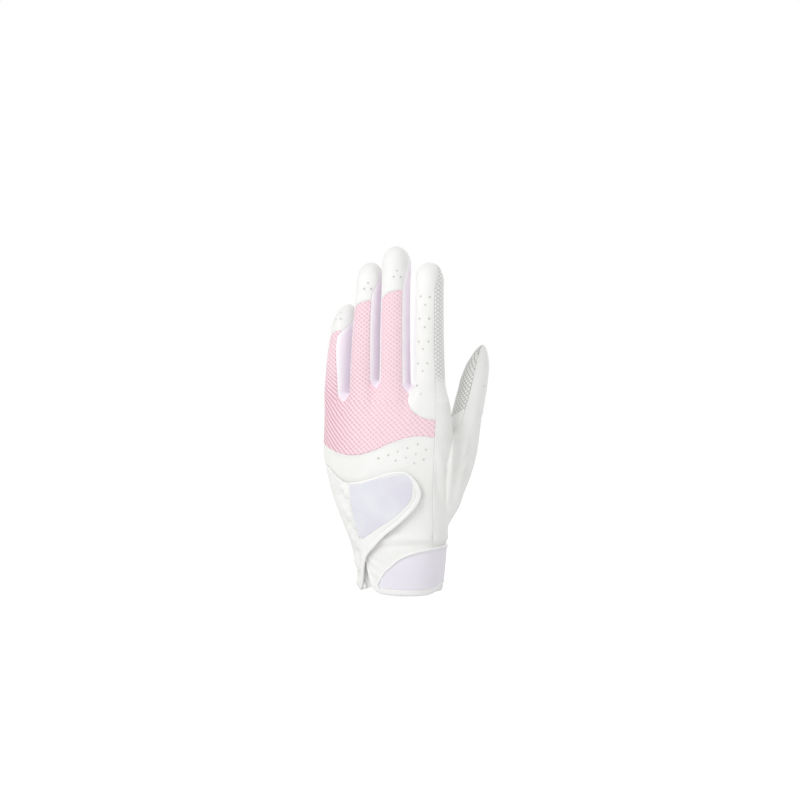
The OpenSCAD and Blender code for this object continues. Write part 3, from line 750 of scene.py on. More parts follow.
def columns(xs, pitch, first=None):
    """Column angles through these sideways places, at a pitch in mm."""
    angles = [back_angle(x, LOW_BASE) for x in xs]
    if first is not None:
        angles.insert(0, first)
    out = [angles[0]]
    for a, b in zip(angles, angles[1:]):
        arc = lengths(hand(np.linspace(a, b, 20), LOW_BASE)[None], 1)[0, -1]
        out.extend(np.linspace(a, b, max(2, int(round(arc / pitch)) + 1))[1:])
    return np.array(out)


def knit_edge(points, left, right):
    """Distance to the edge of the index finger's leather."""
    x, z = points[..., 0], points[..., 2]
    return np.where(x > LEATHER_X - 0.2, (index_edge(np.maximum(x, LEATHER_X)) - z) * 0.75, 99)


def leather_folds(points):
    """The uneven lie of thin leather: three slow ripples."""
    x, y, z = points[..., 0], points[..., 1], points[..., 2]
    return (
        0.10 * np.sin(x * 0.33 + z * 0.21 + 1.3)
        + 0.08 * np.sin(y * 0.4 - z * 0.37 + 0.4)
        + 0.06 * np.sin(x * 0.71 - y * 0.3 + z * 0.52)
    )


def back_of_hand():
    marks = [PINKY_R, RING_L, RING_R, MIDDLE_L, MIDDLE_R, LEATHER_X, RADIAL_X]
    low_cols = columns(marks, 1.3, ULNAR_SEAM)
    fine = np.array([0, 0.5, 1.0, 1.6])
    low_cols = np.unique(np.concatenate([ULNAR_SEAM + fine, low_cols[1:], low_cols[-1] - fine[1:]]))

    def lower(a, t, depth):
        x = hand(a, LOW_BASE)[..., 0]
        top = np.minimum(LOW_BASE, index_edge(x))
        z = mix(wave(x), top, t)
        return hand(back_column(a, z), z, depth)

    def upper(a, t, depth):
        x = hand(a, LOW_BASE)[..., 0]
        low = np.minimum(LOW_BASE, index_edge(x))
        z = mix(low, np.minimum(HIGH_BASE, index_edge(x)), t)
        return hand(back_column(a, z), z, depth)

    middle = back_angle(MIDDLE_X, LOW_BASE), MIDDLE_X
    high_cols = low_cols[low_cols >= back_angle(RING_L, LOW_BASE) - 1e-6]
    grids = [
        panel(lower, low_cols, spaced(18, 1.3), "lrb", origin=middle, near=knit_edge),
        panel(upper, high_cols, spaced(7, 1.2, "end"), "", origin=middle, near=knit_edge),
    ]
    for c, (x0, x1) in enumerate(((PINKY_R, RING_L), (RING_R, MIDDLE_L), (MIDDLE_R, LEATHER_X))):
        a0, a1 = (back_angle(x, LOW_BASE) for x in (x0, x1))
        cols = low_cols[(low_cols >= a0 - 1e-6) & (low_cols <= a1 + 1e-6)]
        full = (PINKY_R, RING_R, MIDDLE_R)[c], (RING_L, MIDDLE_L, INDEX_L)[c]
        shares = (hand(cols, LOW_BASE)[:, 0] - full[0]) / (full[1] - full[0])
        base = LOW_BASE if c == 0 else HIGH_BASE

        def fill(s, t, depth, c=c, base=base):
            return between(c, s, mix(base, u_edge(c, s), t), depth)

        grids.append(panel(fill, shares, spaced(7, 1.0, "end"), "t" if c < 2 else "rt",
                           origin=(shares[0], arc_to(x0, base))))
    piece = sew("back_knit", grids, PINK, "pink_mesh")
    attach(piece, "hand")
    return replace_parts(piece, "back_mesh")


back_of_hand()


# ---- Backs and caps of the middle, ring and little fingers
# The knit runs up each finger to a curved seam past the last joint, where a cap of white leather
# with three small vent holes is sewn on.

CAP_AT, CAP_RISE = 0.6, 0.065


def cap_seam(s):
    """The cap's seam, at s from the little-finger side to the thumb side."""
    return CAP_AT + CAP_RISE * (1 - (1 - s) ** 2.2)


def leather_finish(name, colour, shade, grain=0.12, roughness=0.5):
    """Thin sheepskin: a fine pebbled grain, a soft dull shine, and hardly any colour."""
    made, where, wear = finish(name, roughness)
    pebble = where.node("ShaderNodeTexVoronoi", (), {"Vector": where, "Scale": 1500.0})
    fine = where.noise(5200, 2)
    broad = where.noise(38, 3)
    colour_mix = (broad.smooth(0.3, 0.75) * 0.8 + fine * 0.2).tint(colour, shade)
    height = pebble * 0.7 + fine * 0.4
    wear(Base_Color=colour_mix, Normal=height.bump(0.00012, grain * 4),
         Roughness=roughness - 0.06 + fine * 0.14)
    return made


LEATHER = leather_finish("white_leather", rgb(247, 247, 245), rgb(239, 239, 236))


def seam_near(who, palm=False):
    """Distance to a finger panel's side edges, which lie flush below the U beside them."""
    sides = ORDER.index(who) - 1, ORDER.index(who)
    tops = [U_FOOT[c] + U_ROUND if 0 <= c < len(U_FOOT) else 0.0 for c in sides]
    if palm:
        tops.reverse()

    def near(points, left, right):
        below_left, below_right = (np.clip(top - points[..., 2], 0, None) * 2 for top in tops)
        return np.minimum(left + below_left, right + below_right)

    return near


def finger_strip(who, k0, k1, low, high):
    """Surface of a finger panel from seam k0 to seam k1, from share low(s) to high(s)."""
    def surface(s, t, depth):
        share = mix(low(s), high(s), t)
        a0, a1 = finger_seam(who, k0, share), finger_seam(who, k1, share)
        a1 = np.where(a1 < a0, a1 + 360, a1)
        return finger(who, mix(a0, a1, s), share, depth)

    return surface


def foot(who):
    """Share of a finger's length, below 0, at which its own panels start."""
    return -JOIN / FINGERS[who][2]


# The grey of the vent discs is painted shade inside the punched holes.
def vent_finish():
    made, where, wear = finish("vent_shade", 0.9)
    wear(Base_Color=where.noise(2000, 1).tint(rgb(222, 217, 213), rgb(205, 199, 195)))
    return made


SHADE = vent_finish()


def vents(name, surface, places, moved, lie=leather_folds):
    """Punched vent holes: at each surface(place, depth, step), a flat disc painted with the shade
    inside the hole, in a raised rim.
    """
    here, up, side = (
        np.array([surface(at, d, e) for at in places]) for d, e in ((0, 0), (-1, 0), (0, 1))
    )
    out = up - here
    out /= np.linalg.norm(out, axis=1, keepdims=True)
    along = side - here
    along /= np.linalg.norm(along, axis=1, keepdims=True)
    here = here + out * lie(here)[:, None]
    # Flat grey discs: painted shade where the holes are.
    moved(lay(name + "_holes", here, along, out, SHADE, 1.15, 1.15, 0.12))
    moved(lay(name + "_rims", here + out * 0.02, along, out, LEATHER,
              1.4, 1.4, 0.2, True))


# Angle and share of the finger's length of each vent
CAP_VENTS = {
    "middle": ((290, 0.805), (278, 0.76), (306, 0.76)),
    "ring": ((286, 0.805), (273, 0.76), (301, 0.76)),
    "pinky": ((280, 0.82), (268, 0.77), (292, 0.77)),
}

for who in ("middle", "ring", "pinky"):
    length = FINGERS[who][2]
    low = foot(who)
    middle = 0.5, arc_to(float(finger_form(who, 270.0, 0.0)[0]), FINGER_BASE[who])
    back = panel(
        finger_strip(who, 1, 0, lambda s: low, cap_seam), spaced(16, 1.2),
        spaced(length * 0.6 + JOIN, 1.5, "end"), "t", near=seam_near(who), origin=middle,
    )
    piece = sew(who + "_back_knit", [back], PINK, "pink_mesh")
    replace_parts(bends(piece, who), who + "_back")
    cap = panel(
        finger_strip(who, 1, 0, cap_seam, lambda s: 1.0), spaced(16, 1.2),
        1 - (1 - spaced(26, 1.0)) ** 1.25, "lrb", puff=0.25, relief=leather_folds,
    )
    piece = sew(who + "_cap_leather", [cap], LEATHER, "white_leather")
    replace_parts(bends(piece, who), who + "_cap")
    seam = finger_strip(who, 1, 0, lambda s: cap_seam(s) + 1.0 / length, lambda s: 1.0)
    row = stitches(who + "_cap_stitches", lambda k, d: seam(mix(0.06, 0.94, k), k * 0, d - 0.1))
    bends(row, who)
    vents(who + "_cap_vents", lambda at, d, e: finger(who, at[0] + e * 4.0, at[1], d - 0.2),
          CAP_VENTS[who], lambda piece: bends(piece, who))


# ---- Index finger's leather
# Perforated white leather from the rounded edge over the knuckle, which is turned in and stitched
# on the knit, to the fingertip. It is parted at the finger's root so that the finger can bend.

def knuckle(s, t, depth):
    x = mix(LEATHER_X, RADIAL_X, s)
    z = mix(index_edge(x), HIGH_BASE, t)
    z = np.minimum(z, HIGH_BASE)
    return hand(back_angle(x, z), z, depth)


def beside_u(s, t, depth):
    return between(2, s, mix(HIGH_BASE, u_edge(2, s), t), depth)


leather_share = (LEATHER_X - MIDDLE_R) / (INDEX_L - MIDDLE_R)
beside_end = (INDEX_L - LEATHER_X) / (RADIAL_X - LEATHER_X)
knuckle_cols = np.unique(np.append(spaced(16, 1.1), beside_end))
beside_cols = mix(leather_share, 1.0, spaced(2.7, 0.8, "start"))
grids = [
    panel(knuckle, knuckle_cols, spaced(8, 1.0, "start"), "rb", puff=0.3,
          near=lambda points, left, right: left + 0.3),
    panel(beside_u, beside_cols, spaced(7, 1.0, "end"), "lt"),
]
piece = sew("index_knuckle_leather", grids, LEATHER, "white_leather")
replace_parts(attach(piece, "hand"), "index_knuckle_panel")

index_low = foot("index")
back = panel(
    finger_strip("index", 1, 0, lambda s: index_low, lambda s: 1.0), spaced(17, 1.2),
    1 - (1 - spaced(81, 1.4, "start")) ** 1.15, "", near=seam_near("index"), puff=0.15,
    relief=leather_folds,
)
piece = sew("index_back_leather", [back], LEATHER, "white_leather")
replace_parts(bends(piece, "index"), "index_back")
vents(
    "index_vents", lambda at, d, e: finger("index", at[0] + e * 4.0, at[1], d - 0.12),
    ((252, 0.7), (285, 0.695), (270, 0.63), (251, 0.52), (284, 0.52), (270, 0.45), (249, 0.335),
     (282, 0.335), (266, 0.275), (245, 0.16), (278, 0.16), (264, 0.1)),
    lambda piece: bends(piece, "index"),
)


def on_back(at, d, e=0.0):
    """Point of the back of the hand at a sideways place and height."""
    x, z = np.asarray(at[0], float) + e, np.asarray(at[1], float)
    return hand(back_angle(x, z), z, d)


vents("knuckle_vents", lambda at, d, e: on_back(at, d - 0.25, e),
      ((12.6, 120.8), (17.7, 120.8), (15.1, 116.1)), lambda piece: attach(piece, "hand"))


def knuckle_hem(k, d):
    x = mix(LEATHER_X + 1.6, RADIAL_X - 0.8, k)
    return on_back((x, index_edge(x) + 1.1), d - 0.2)


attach(stitches("knuckle_stitches", knuckle_hem), "hand")


# ---- Side strips and webs
# Strips of thin stretch cloth between the back and the palm side of each finger. Between two
# fingers they run together in a U, which shows at the back as a white tongue.

def stretch_finish(name, way):
    """Thin stretch cloth, white along its seam and faintly lavender beyond, across or up: the
    lavender is painted shade, standing in for the shade deep between the fingers.
    """
    made, where, wear = finish(name, 0.6, Sheen_Weight=0.2)
    weave = where.noise(2300, 1)
    broad = where.noise(60, 2)
    seam = where.cloth(way)
    # Away from the seam, deeper between the fingers, the cloth turns to a painted lavender shade.
    gap_shade = seam.maths("ABSOLUTE", seam).smooth(0.0008, 0.0045)
    near = broad.smooth(0.3, 0.8).tint(rgb(254, 251, 254), rgb(252, 247, 252))
    wear(Base_Color=gap_shade.tint(near, rgb(246, 237, 246)), Normal=weave.bump(0.00012, 0.5),
         Roughness=0.55 + weave * 0.15)
    return made


# Measured up, the whole web counts as far from the seam and takes the painted lavender shade
# throughout.
STRETCH, WEB_CLOTH = stretch_finish("pearl_stretch", 0), stretch_finish("pearl_stretch_web", 1)


def side_strip(who, k0, k1, material, slot, name, node, sink=0.45):
    """A strip of one finger between its seams k0 and k1, hollowed by sink."""
    low = foot(who)
    top = SIDE_END - 0.004 - EARLY.get(who, 0)
    grid = panel(
        finger_strip(who, k0, k1, lambda s: low, lambda s: top), spaced(13, 1.1),
        spaced(FINGERS[who][2] * top + JOIN, 1.5, "end"), "lr", puff=-sink,
        origin=(0.0 if k0 in (0, 3) else 1.0, 0.0),
    )
    piece = sew(name, [grid], material, slot)
    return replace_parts(bends(piece, who), node)


side_strip("index", 2, 1, STRETCH, "pearl_stretch", "index_side_strip", "index_fourchette")
for who in ("middle", "ring", "pinky"):
    side_strip(who, 0, 3, STRETCH, "pearl_stretch", who + "_thumbward_strip", who + "_thumb_side")
    if who != "pinky":
        side_strip(who, 2, 1, STRETCH, "pearl_stretch", who + "_outer_strip", who + "_little_side")


# Stitches beside the seams of every finger
for who in ORDER:
    for k, side in ((1, 1), (0, -1), (2, -1), (3, 1)):
        top = 0.93 if who == "index" or k > 1 else CAP_AT + (0.0 if k else CAP_RISE) - 0.02

        def run(t, d, who=who, k=k, side=side, top=top):
            share = mix(foot(who) + 8.5 / FINGERS[who][2], top, t)
            return finger(who, finger_seam(who, k, share) + side * 6.5, share, d - 0.03)

        bends(stitches(f"{who}_seam_stitches_{k}", run, 1.9, 1.3, 0.26, 0.2), who)


def web(c):
    """The U between fingers c and c + 1, from the back (t 0) over its crest to the palm (t 1)."""
    pair = ORDER[c : c + 2]
    seams_a, seams_b = (FINGERS[who][11] for who in pair)
    turns = (seams_a[0], seams_a[3] + 360), (seams_b[1], seams_b[2])

    def surface(s, t, depth):
        swing = np.sin(np.pi * s)
        across = (1 - np.cos(np.pi * s)) / 2
        z = mix(u_edge(c, across), U_FOOT[c] + U_ROUND + 1.6 - 1.8 * swing, np.sin(np.pi * t))
        z = z - depth * swing

        def line(angle_of, depth):
            """Points on the lines from one finger to the other."""
            ends = (finger_at(who, angle_of(*turn), z, depth) for who, turn in zip(pair, turns))
            return mix(*ends, across[..., None])

        def off(end):
            """How far the hand's back (0) or palm (1) lies from those lines there."""
            from_line = line(lambda *turn: np.full(t.shape, float(turn[end])), depth * 0)
            return between(c, across, z, depth * 0, bool(end)) - from_line

        point = line(lambda low, high: mix(low, high, t), depth * np.abs(np.cos(np.pi * s)))
        return point + off(0) * ((1 - t) ** 3)[..., None] + off(1) * (t**3)[..., None]

    grid = panel(surface, np.linspace(0, 1, 17), spaced(14, 1.0), "bt")
    piece = sew(f"web_{pair[0]}_{pair[1]}", [grid], WEB_CLOTH, "pearl_stretch")
    node = ("web_ring_pinky", "web_middle_ring", "web_index_middle")[c]
    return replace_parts(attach(piece, "hand"), node)


for c in range(3):
    web(c)


# ---- Palm
# One piece of leather over the whole palm, from the hem to the fingers and round the
# little-finger edge. Each finger's palm side is cut in one with it.

def thumb_open(z):
    """Half the angle that the thumb's opening takes out of the hand at a height."""
    t = np.clip((z - THUMB_HOLE_Z) / (THUMB_HOLE_L / 2), -1, 1)
    return THUMB_HALF * np.sqrt(1 - t * t)


# Height at which the panels end inside the hem's binding
HEM_UNDER = 2.6
palm_xs = {who: [float(finger_form(who, float(a), 0.0)[0]) for a in (43, 137)] for who in ORDER}


def palm_of_hand():
    def column(a, z):
        """Palm column that has the angle a at the little finger's base."""
        x = hand(a, LOW_BASE)[..., 0]
        free = mix(palm_angle(x, z), a, ease((a - 500) / 25))
        start = THUMB_MID + thumb_open(z)
        pull = ease((a - THUMB_MID) / 90)
        return mix(start + (a - THUMB_MID) * 0.6, free, pull)

    xs = [palm_xs["index"][1], palm_xs["middle"][0], palm_xs["middle"][1],
          palm_xs["ring"][0], palm_xs["ring"][1], palm_xs["pinky"][0]]
    marks = [THUMB_MID, *[float(palm_angle(x, LOW_BASE)) for x in xs], ULNAR_SEAM + 360]
    cols = [marks[0]]
    for a, b in zip(marks, marks[1:]):
        arc = lengths(hand(np.linspace(a, b, 20), LOW_BASE)[None], 1)[0, -1]
        cols.extend(np.linspace(a, b, max(2, int(round(arc / 1.5)) + 1))[1:])
    cols = np.array(cols)

    def lower(a, t, depth):
        z = mix(HEM_UNDER, LOW_BASE, t)
        return hand(column(a, z), z, depth)

    def upper(a, t, depth):
        z = mix(LOW_BASE, HIGH_BASE, t)
        return hand(column(a, z), z, depth)

    grids = [
        panel(lower, cols, spaced(102, 1.6, "start"), "lr", relief=leather_folds),
        panel(upper, cols[cols <= marks[5] + 1e-6], spaced(7, 1.4, "none"), "l",
              relief=leather_folds),
    ]
    # Marks on both sides of each U, from the one beside the little finger
    for c, (k0, k1) in enumerate(((5, 6), (3, 4), (1, 2))):
        part = cols[(cols >= marks[k0] - 1e-6) & (cols <= marks[k1] + 1e-6)][::-1]
        x = hand(part, LOW_BASE)[:, 0]
        shares = (x - x[0]) / (x[-1] - x[0])
        base = LOW_BASE if c == 0 else HIGH_BASE

        def fill(s, t, depth, c=c, base=base):
            return between(c, 1 - s, mix(base, u_edge(c, s), t), depth, True)

        grids.append(panel(fill, 1 - shares[::-1], spaced(7, 1.0, "end"), "t"))
    piece = sew("whole_palm_leather", grids, LEATHER, "white_leather")
    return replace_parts(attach(piece, "hand"), "palm_leather")


palm_of_hand()

for who in ORDER:
    low = foot(who)
    grid = panel(
        finger_strip(who, 3, 2, lambda s: low, lambda s: 1.0), spaced(16, 1.2),
        1 - (1 - spaced(FINGERS[who][2] + JOIN, 1.5, "start")) ** 1.15, "",
        near=seam_near(who, True), puff=0.15, relief=leather_folds,
    )
    piece = sew(who + "_palm_leather", [grid], LEATHER, "white_leather")
    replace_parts(bends(piece, who), who + "_palm")

side_strip("pinky", 2, 1, LEATHER, "white_leather", "pinky_edge_leather", "pinky_little_side", 0.0)


# ---- Thumb side of the hand
# A leather panel from the long back seam round to the palm, and the index finger's thumb-side
# strip above it, printed with a grey net for grip.

def radial_low(z):
    """Angle of the long back seam at a height."""
    return back_angle(RADIAL_X, np.maximum(z, WRIST_Z))


def radial_side(s, t, depth):
    z = mix(HEM_UNDER, HIGH_BASE, t)
    return hand(mix(radial_low(z), THUMB_MID - thumb_open(z), s), z, depth)


def radial_folds(points):
    """Creases above the cuff and a long soft fold down from the thumb."""
    y, z = points[..., 1], points[..., 2]
    above = 0.95 * np.exp(-(((z - 33.5) / 2.2) ** 2)) - 0.8 * np.exp(-(((z - 29.9) / 1.5) ** 2))
    down = 0.35 * np.sin(y * 0.9 + z * 0.1) * ease((z - 40) / 20) * ease((96 - z) / 20)
    return above + down + leather_folds(points)


grid = panel(radial_side, spaced(14, 1.0), spaced(108, 1.5, "start"), "lr", puff=0.1,
             relief=radial_folds, roll=0.28)
piece = sew("radial_side_leather", [grid], LEATHER, "white_leather")
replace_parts(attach(piece, "hand"), "radial_side_panel")


def grip_finish(name, pitch, slope, low, high, ink_colour):
    """White leather printed with a grey net, of this pitch across and up in mm. The print fades
    in from low to high, measured up with a slope to the side."""
    made, where, wear = finish(name, 0.5)
    x, z = (where.cloth(way) * (math.pi / pitch[way] / MM) for way in (0, 1))
    rise, fall = (x + z).beat(), (x - z).beat()
    net = 1 - rise.maths("MINIMUM", rise, fall).smooth(0.05, 0.85)
    print_here = net * (where.part(2) - where.part(0) * slope).smooth(low * MM, high * MM)
    fine = where.noise(4200, 2)
    colour = print_here.tint(rgb(251, 251, 250), ink_colour)
    relief = print_here * 0.7 + fine * 0.3
    wear(Base_Color=colour, Normal=relief.bump(0.0002, 0.7), Roughness=0.5 + print_here * 0.15)
    return made


GRIP = grip_finish("printed_grip_index", (4.2, 2.36), 0.0, 121, 128, rgb(216, 217, 213))
side_strip("index", 0, 3, GRIP, "printed_grip", "index_printed_grip", "index_grip_strip", -0.1)


# ---- Wrist
# Two panels of white leather stitched on under the wavy seam, parted by the vent on the
# little-finger side. The one towards the thumb is perforated and lies over the other.

# Outline of the hem on the back of the hand: angle, height. It turns up round the vent's corner.
HEM_LINE = np.array([
    (240.6, 30), (240.8, 20), (241.4, 14.5), (242.8, 10.2), (245.6, 6.4), (250.5, 3.6),
    (257.5, 2.0),
    (270, 1.0), (285, 0.7), (309, 0.8), (330, 1.2), (344, 2.2), (356, 3.5), (368, 4.0), (385, 2.6),
    (410, 0.8), (430, 0), (445, 0.1), (460, 0.5), (475, 1.2), (490, 2.1), (505, 3.2), (520, 4.3),
    (535, 4.9), (548, 4.6), (557, 3.6), (566, 3.0), (577, 2.8), (583, 3.2), (592, 3.8), (600, 4.4),
    (612, 5.0),
])
HEM_WIDTH = 4.5
# Rows of HEM_LINE that turn round the vent's corner, the share of the hem's path that they take
# up, and the angle at which the path ends
CORNER_ROWS, CORNER_SHARE, HEM_END = 8, 0.2, 595.5


def hem_low(a):
    """Height of the glove's lower edge at an angle."""
    return np.interp(a, HEM_LINE[:, 0], HEM_LINE[:, 1])


def slit_edge(side):
    """Angle of the slit's edge at a height: side 1 over it, -1 the leather under it."""
    def edge(z):
        a = back_angle(-17.5 - 0.07 * z + side * 1.5 * np.clip(1 - z / 62, 0, 1), z)
        return np.maximum(a, (240.6 if side > 0 else 249.0) - np.clip(z - 30, 0, 30) * 0.6)

    return edge


def wave_angle(a):
    """Height of the wavy seam at an angle."""
    return wave(hand(a, 86.2)[..., 0])


def pressed(a, z):
    """How deep the closure's root has pressed into the leather under it."""
    x = hand(a, z)[..., 0]
    root = hand(np.full(np.shape(z), 202.0), z)[..., 0]
    s = (x - root) / (16.5 - root)
    press = ease((s + 0.06) / 0.06) * (1 - ease((s - 0.04) / 0.16))
    return 0.6 * press * (1 - ease((z - 71) / 5))


def wrist_folds(points):
    """Soft creases above the cuff, and beside the vent where the closure pulls the leather."""
    x, z = points[..., 0], points[..., 2]
    ridge, dip = (
        np.exp(-(((z - at - 0.03 * x) / wide) ** 2)) for at, wide in ((32.8, 2.2), (29.2, 1.5))
    )
    above = 0.9 * ridge - 0.8 * dip
    slant = z + x * 0.75
    around = np.exp(-(((x + 7) / 7) ** 2) - (((z - 17) / 9) ** 2))
    beside = 0.45 * np.sin(slant * 1.15 + 0.6) * around
    upper = 0.3 * np.exp(-(((z - 40 - x * 0.9) / 3.0) ** 2)) * ease((x - 2) / 8)
    return above * ease((x + 12) / 14) + beside + upper + leather_folds(points)


def wrist_panel(name, node, start, end, width, rolled, open_side):
    """Leather from angle start(z) to end(z), from the hem to the wavy seam. The one with its open
    side to the right goes on under the other."""
    below = open_side == "r"

    def settle(height_of, z):
        """Height at which a column meets a line, found again from each guess."""
        for _ in range(4):
            z = height_of(z)
        return z

    def surface(s, t, depth):
        def column(z):
            return mix(start(z), end(z), s)

        high = settle(lambda z: wave_angle(column(z)), np.full(s.shape, 86.0))
        low = settle(lambda z: hem_low(column(z) + 360 * below) + (0.4 if below else 1.6),
                     np.full(s.shape, 5.0))
        z = mix(low, high, t)
        a = column(z)
        under = 1.7 * ease((a - 229) / 9) * (1 - ease((z - 34) / 14)) if below else 0.0
        return hand(a, z, depth + pressed(a, z) + under)

    def near(points, left, right):
        return (right if below else left) + np.clip(points[..., 2] - 52, 0, None)

    grid = panel(surface, spaced(width, 1.3), spaced(84, 1.5), rolled, puff=0.15,
                 relief=wrist_folds, near=near)
    piece = sew(name, [grid], LEATHER, "white_leather")
    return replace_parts(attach(piece, "hand"), node)


wrist_panel("wrist_back_leather", "wrist_back_panel", slit_edge(1), radial_low, 40, "rt", "l")
wrist_panel("ulnar_wrist_leather", "ulnar_wrist_panel", lambda z: np.full(np.shape(z), ULNAR_SEAM),
            slit_edge(-1), 24, "lt", "r")
vents(
    "wrist_vents", lambda at, d, e: on_back(at, d - 0.15, e),
    ((-8.1, 79.0), (-2.2, 81.0), (3.4, 83.0), (9.0, 84.9), (14.6, 87.2), (2.5, 77.9), (8.3, 79.5),
     (13.8, 81.6), (19.1, 84.0), (13.2, 76.2), (18.2, 78.5)),
    lambda piece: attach(piece, "hand"), wrist_folds,
)


def wave_row(k, d):
    x = mix(-37.0, RADIAL_X - 0.8, k)
    return on_back((x, wave(x) - 1.1), d - 0.12)


def radial_row(k, d):
    z = mix(29.0, 118.0, k)
    return hand(radial_low(z) + 1.5, z, d - 0.1)


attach(stitches("wave_stitches", wave_row), "hand")
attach(stitches("radial_stitches", radial_row), "hand")


# ---- Thumb
# A leather gusset let into the side of the hand, and three panels above it: the back, the palm
# side and a grip strip that faces the index finger.

# Angles of its three seams, each named for the panel that starts there
BACK_FROM, PALM_FROM, GRIP_FROM = 254, 16, 164
FINGERS["thumb"] = (31.5, 98, 47, 7.5, 11, 1.5, 9.2, 11, 0.8, 20, 24, ())
BLUNT["thumb"] = 1.22
ROOT_Y["thumb"] = 24.0


def swings(piece):
    """Bakes the piece's place into its mesh."""
    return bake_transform(piece)


def gusset(s, t):
    """From the lens-shaped opening in the hand (t 0) to the thumb's root (t 1)."""
    a = s * 360
    ca, sa = np.cos(np.radians(a)), np.sin(np.radians(a))

    def lens(scale, d):
        """Round the opening's edge, or wider or narrower than it."""
        z = THUMB_HOLE_Z + THUMB_HOLE_L / 2 * scale * sa
        return hand(THUMB_MID + THUMB_HALF * scale * ca, z, d)

    start, end = lens(1.05, 0.8), finger_form("thumb", 90 + a, 0.0)
    inward = lens(0.85, 0.0) - lens(1.0, 0.0)
    inward = inward / np.maximum(np.linalg.norm(inward, axis=-1, keepdims=True), 1e-6)
    outward = lens(1.0, -1.0) - lens(1.0, 0.0)
    fold = mix(0.22 + 0.5 * np.clip(-ca, 0, 1), 1, ease((sa + 0.2) / 0.9))[..., None]
    leave = mix(inward, outward, fold)
    span = np.linalg.norm(end - start, axis=-1, keepdims=True)
    arrive = np.array([0.16, 0.0, 1.0])
    tt = t[..., None]
    point = (
        start * (2 * tt**3 - 3 * tt**2 + 1)
        + leave * span * 0.9 * (tt**3 - 2 * tt**2 + tt)
        + end * (3 * tt**2 - 2 * tt**3)
        + arrive * span * 0.9 * (tt**3 - tt**2)
    )
    swell = np.sin(np.pi * t) * (1 - sa) * np.clip(1 - t, 0, 1) ** 0.5
    return point + swell[..., None] * np.array([0.75, 0.2, -0.3])


def sunk_gusset(s, t, depth):
    """The gusset sunk along its own normals."""
    e = 1e-3
    across = gusset(s + e, t) - gusset(s - e, t)
    along = gusset(s, np.clip(t + e, 0, 1)) - gusset(s, np.clip(t - e, 0, 1))
    n = np.cross(across, along)
    n = n / np.maximum(np.linalg.norm(n, axis=-1, keepdims=True), 1e-9)
    return gusset(s, t) - n * depth[..., None]


def gusset_folds(points):
    """The gusset's leather gathers a little where the thumb leaves the hand."""
    x, y, z = points[..., 0], points[..., 1], points[..., 2]
    u = x * 0.94 + y * 0.34
    slant = (u - 36.5) * 0.767 - (z - 78.3) * 0.642
    run = (u - 36.5) * 0.642 + (z - 78.3) * 0.767
    crease = np.exp(-((slant / 1.2) ** 2) - ((run / 5.5) ** 2)) - 0.8 * np.exp(
        -(((slant - 2.6) / 1.8) ** 2) - ((run / 6) ** 2)
    )
    soft = 0.5 * np.sin(x * 0.75 + y * 0.35 - z * 0.12) * ease((z - 46) / 12) * ease((98 - z) / 12)
    return soft - 0.8 * crease


grid = panel(sunk_gusset, np.linspace(0, 1, 97)[:-1], spaced(40, 1.6), "b", relief=gusset_folds,
             roll=0.3)
piece = sew("thumb_gusset_leather", [grid], LEATHER, "white_leather", ring=True)
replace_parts(swings(piece), "thumb_gusset")

THUMB_GRIP = grip_finish("printed_grip_thumb", (2.7, 2.4), 0.55, 88.0, 89.0, rgb(196, 198, 192))
for name, node, start, end, material, slot in (
    ("thumb_back_leather", "thumb_back", BACK_FROM, PALM_FROM + 360, LEATHER, "white_leather"),
    ("thumb_palm_leather", "thumb_palm", PALM_FROM, GRIP_FROM, LEATHER, "white_leather"),
    ("thumb_printed_grip", "thumb_grip_strip", GRIP_FROM, BACK_FROM, THUMB_GRIP, "printed_grip"),
):
    def surface(s, t, depth):
        """Between two seams. The one between grip and back bows towards the back."""
        turn = 11 * np.sin(np.pi * np.minimum(t / 0.92, 1))
        seams = (seam + (seam == BACK_FROM) * turn for seam in (start, end))
        return finger_form("thumb", mix(*seams, s), t, depth)

    grid = panel(surface, spaced(18, 1.2), 1 - (1 - spaced(50, 1.4, "start")) ** 1.15, "lr",
                 relief=leather_folds)
    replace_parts(swings(sew(name, [grid], material, slot)), node)


vents("thumb_vents", lambda at, d, e: finger_form("thumb", at[0] + e * 4, at[1], d),
      ((316.5, 0.46), (346, 0.15)), swings)


# ---- Cuff
# A band of lavender satin elastic on the thumb side with a white piping over its edge, a bound
# hem all round, and a strip of elastic inside the palm side of the wrist.

# Top of the elastic band: angle, height
BAND = np.array([
    (257.5, 6.6), (261, 9.8), (265, 12.9), (269, 15.5), (273.5, 18.4), (278.2, 20.6), (285, 22.6),
    (294, 24.3), (310.8, 26.2), (333.8, 27.4), (354.8, 28.0), (385, 28.0), (405, 26.5), (420, 22.5),
    (430, 16), (437, 6),
])


def band_top(a):
    """Height of the elastic band's upper edge at an angle."""
    return curve(BAND, a, 1)


def elastic_finish():
    made, where, wear = finish("lavender_elastic", 0.45, Sheen_Weight=0.3)
    rib = where.maths("SINE", where.part(2) * (2 * math.pi / 0.9e-3))
    thread = where.noise(3000, 1)
    broad = where.noise(50, 2)
    colour = broad.tint(rgb(242, 238, 246), rgb(234, 230, 240))
    wear(Base_Color=colour, Normal=(rib * 0.3 + thread * 0.5).bump(0.00015, 0.5),
         Roughness=0.42 + thread * 0.2)
    return made


ELASTIC = elastic_finish()


def band(s, t, depth):
    a = mix(BAND[0, 0] + 0.3, BAND[-1, 0] - 0.3, (1 - np.cos(np.pi * s)) / 2)
    low = np.minimum(hem_low(a) + HEM_WIDTH - 0.6, band_top(a) - 0.05)
    return hand(a, mix(low, band_top(a), t), depth - 0.35)


grid = panel(band, spaced(78, 1.2), spaced(22, 1.3), "lrt", puff=0.3)
piece = sew("cuff_elastic_band", [grid], ELASTIC, "lavender_elastic")
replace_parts(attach(piece, "hand"), "cuff_elastic")


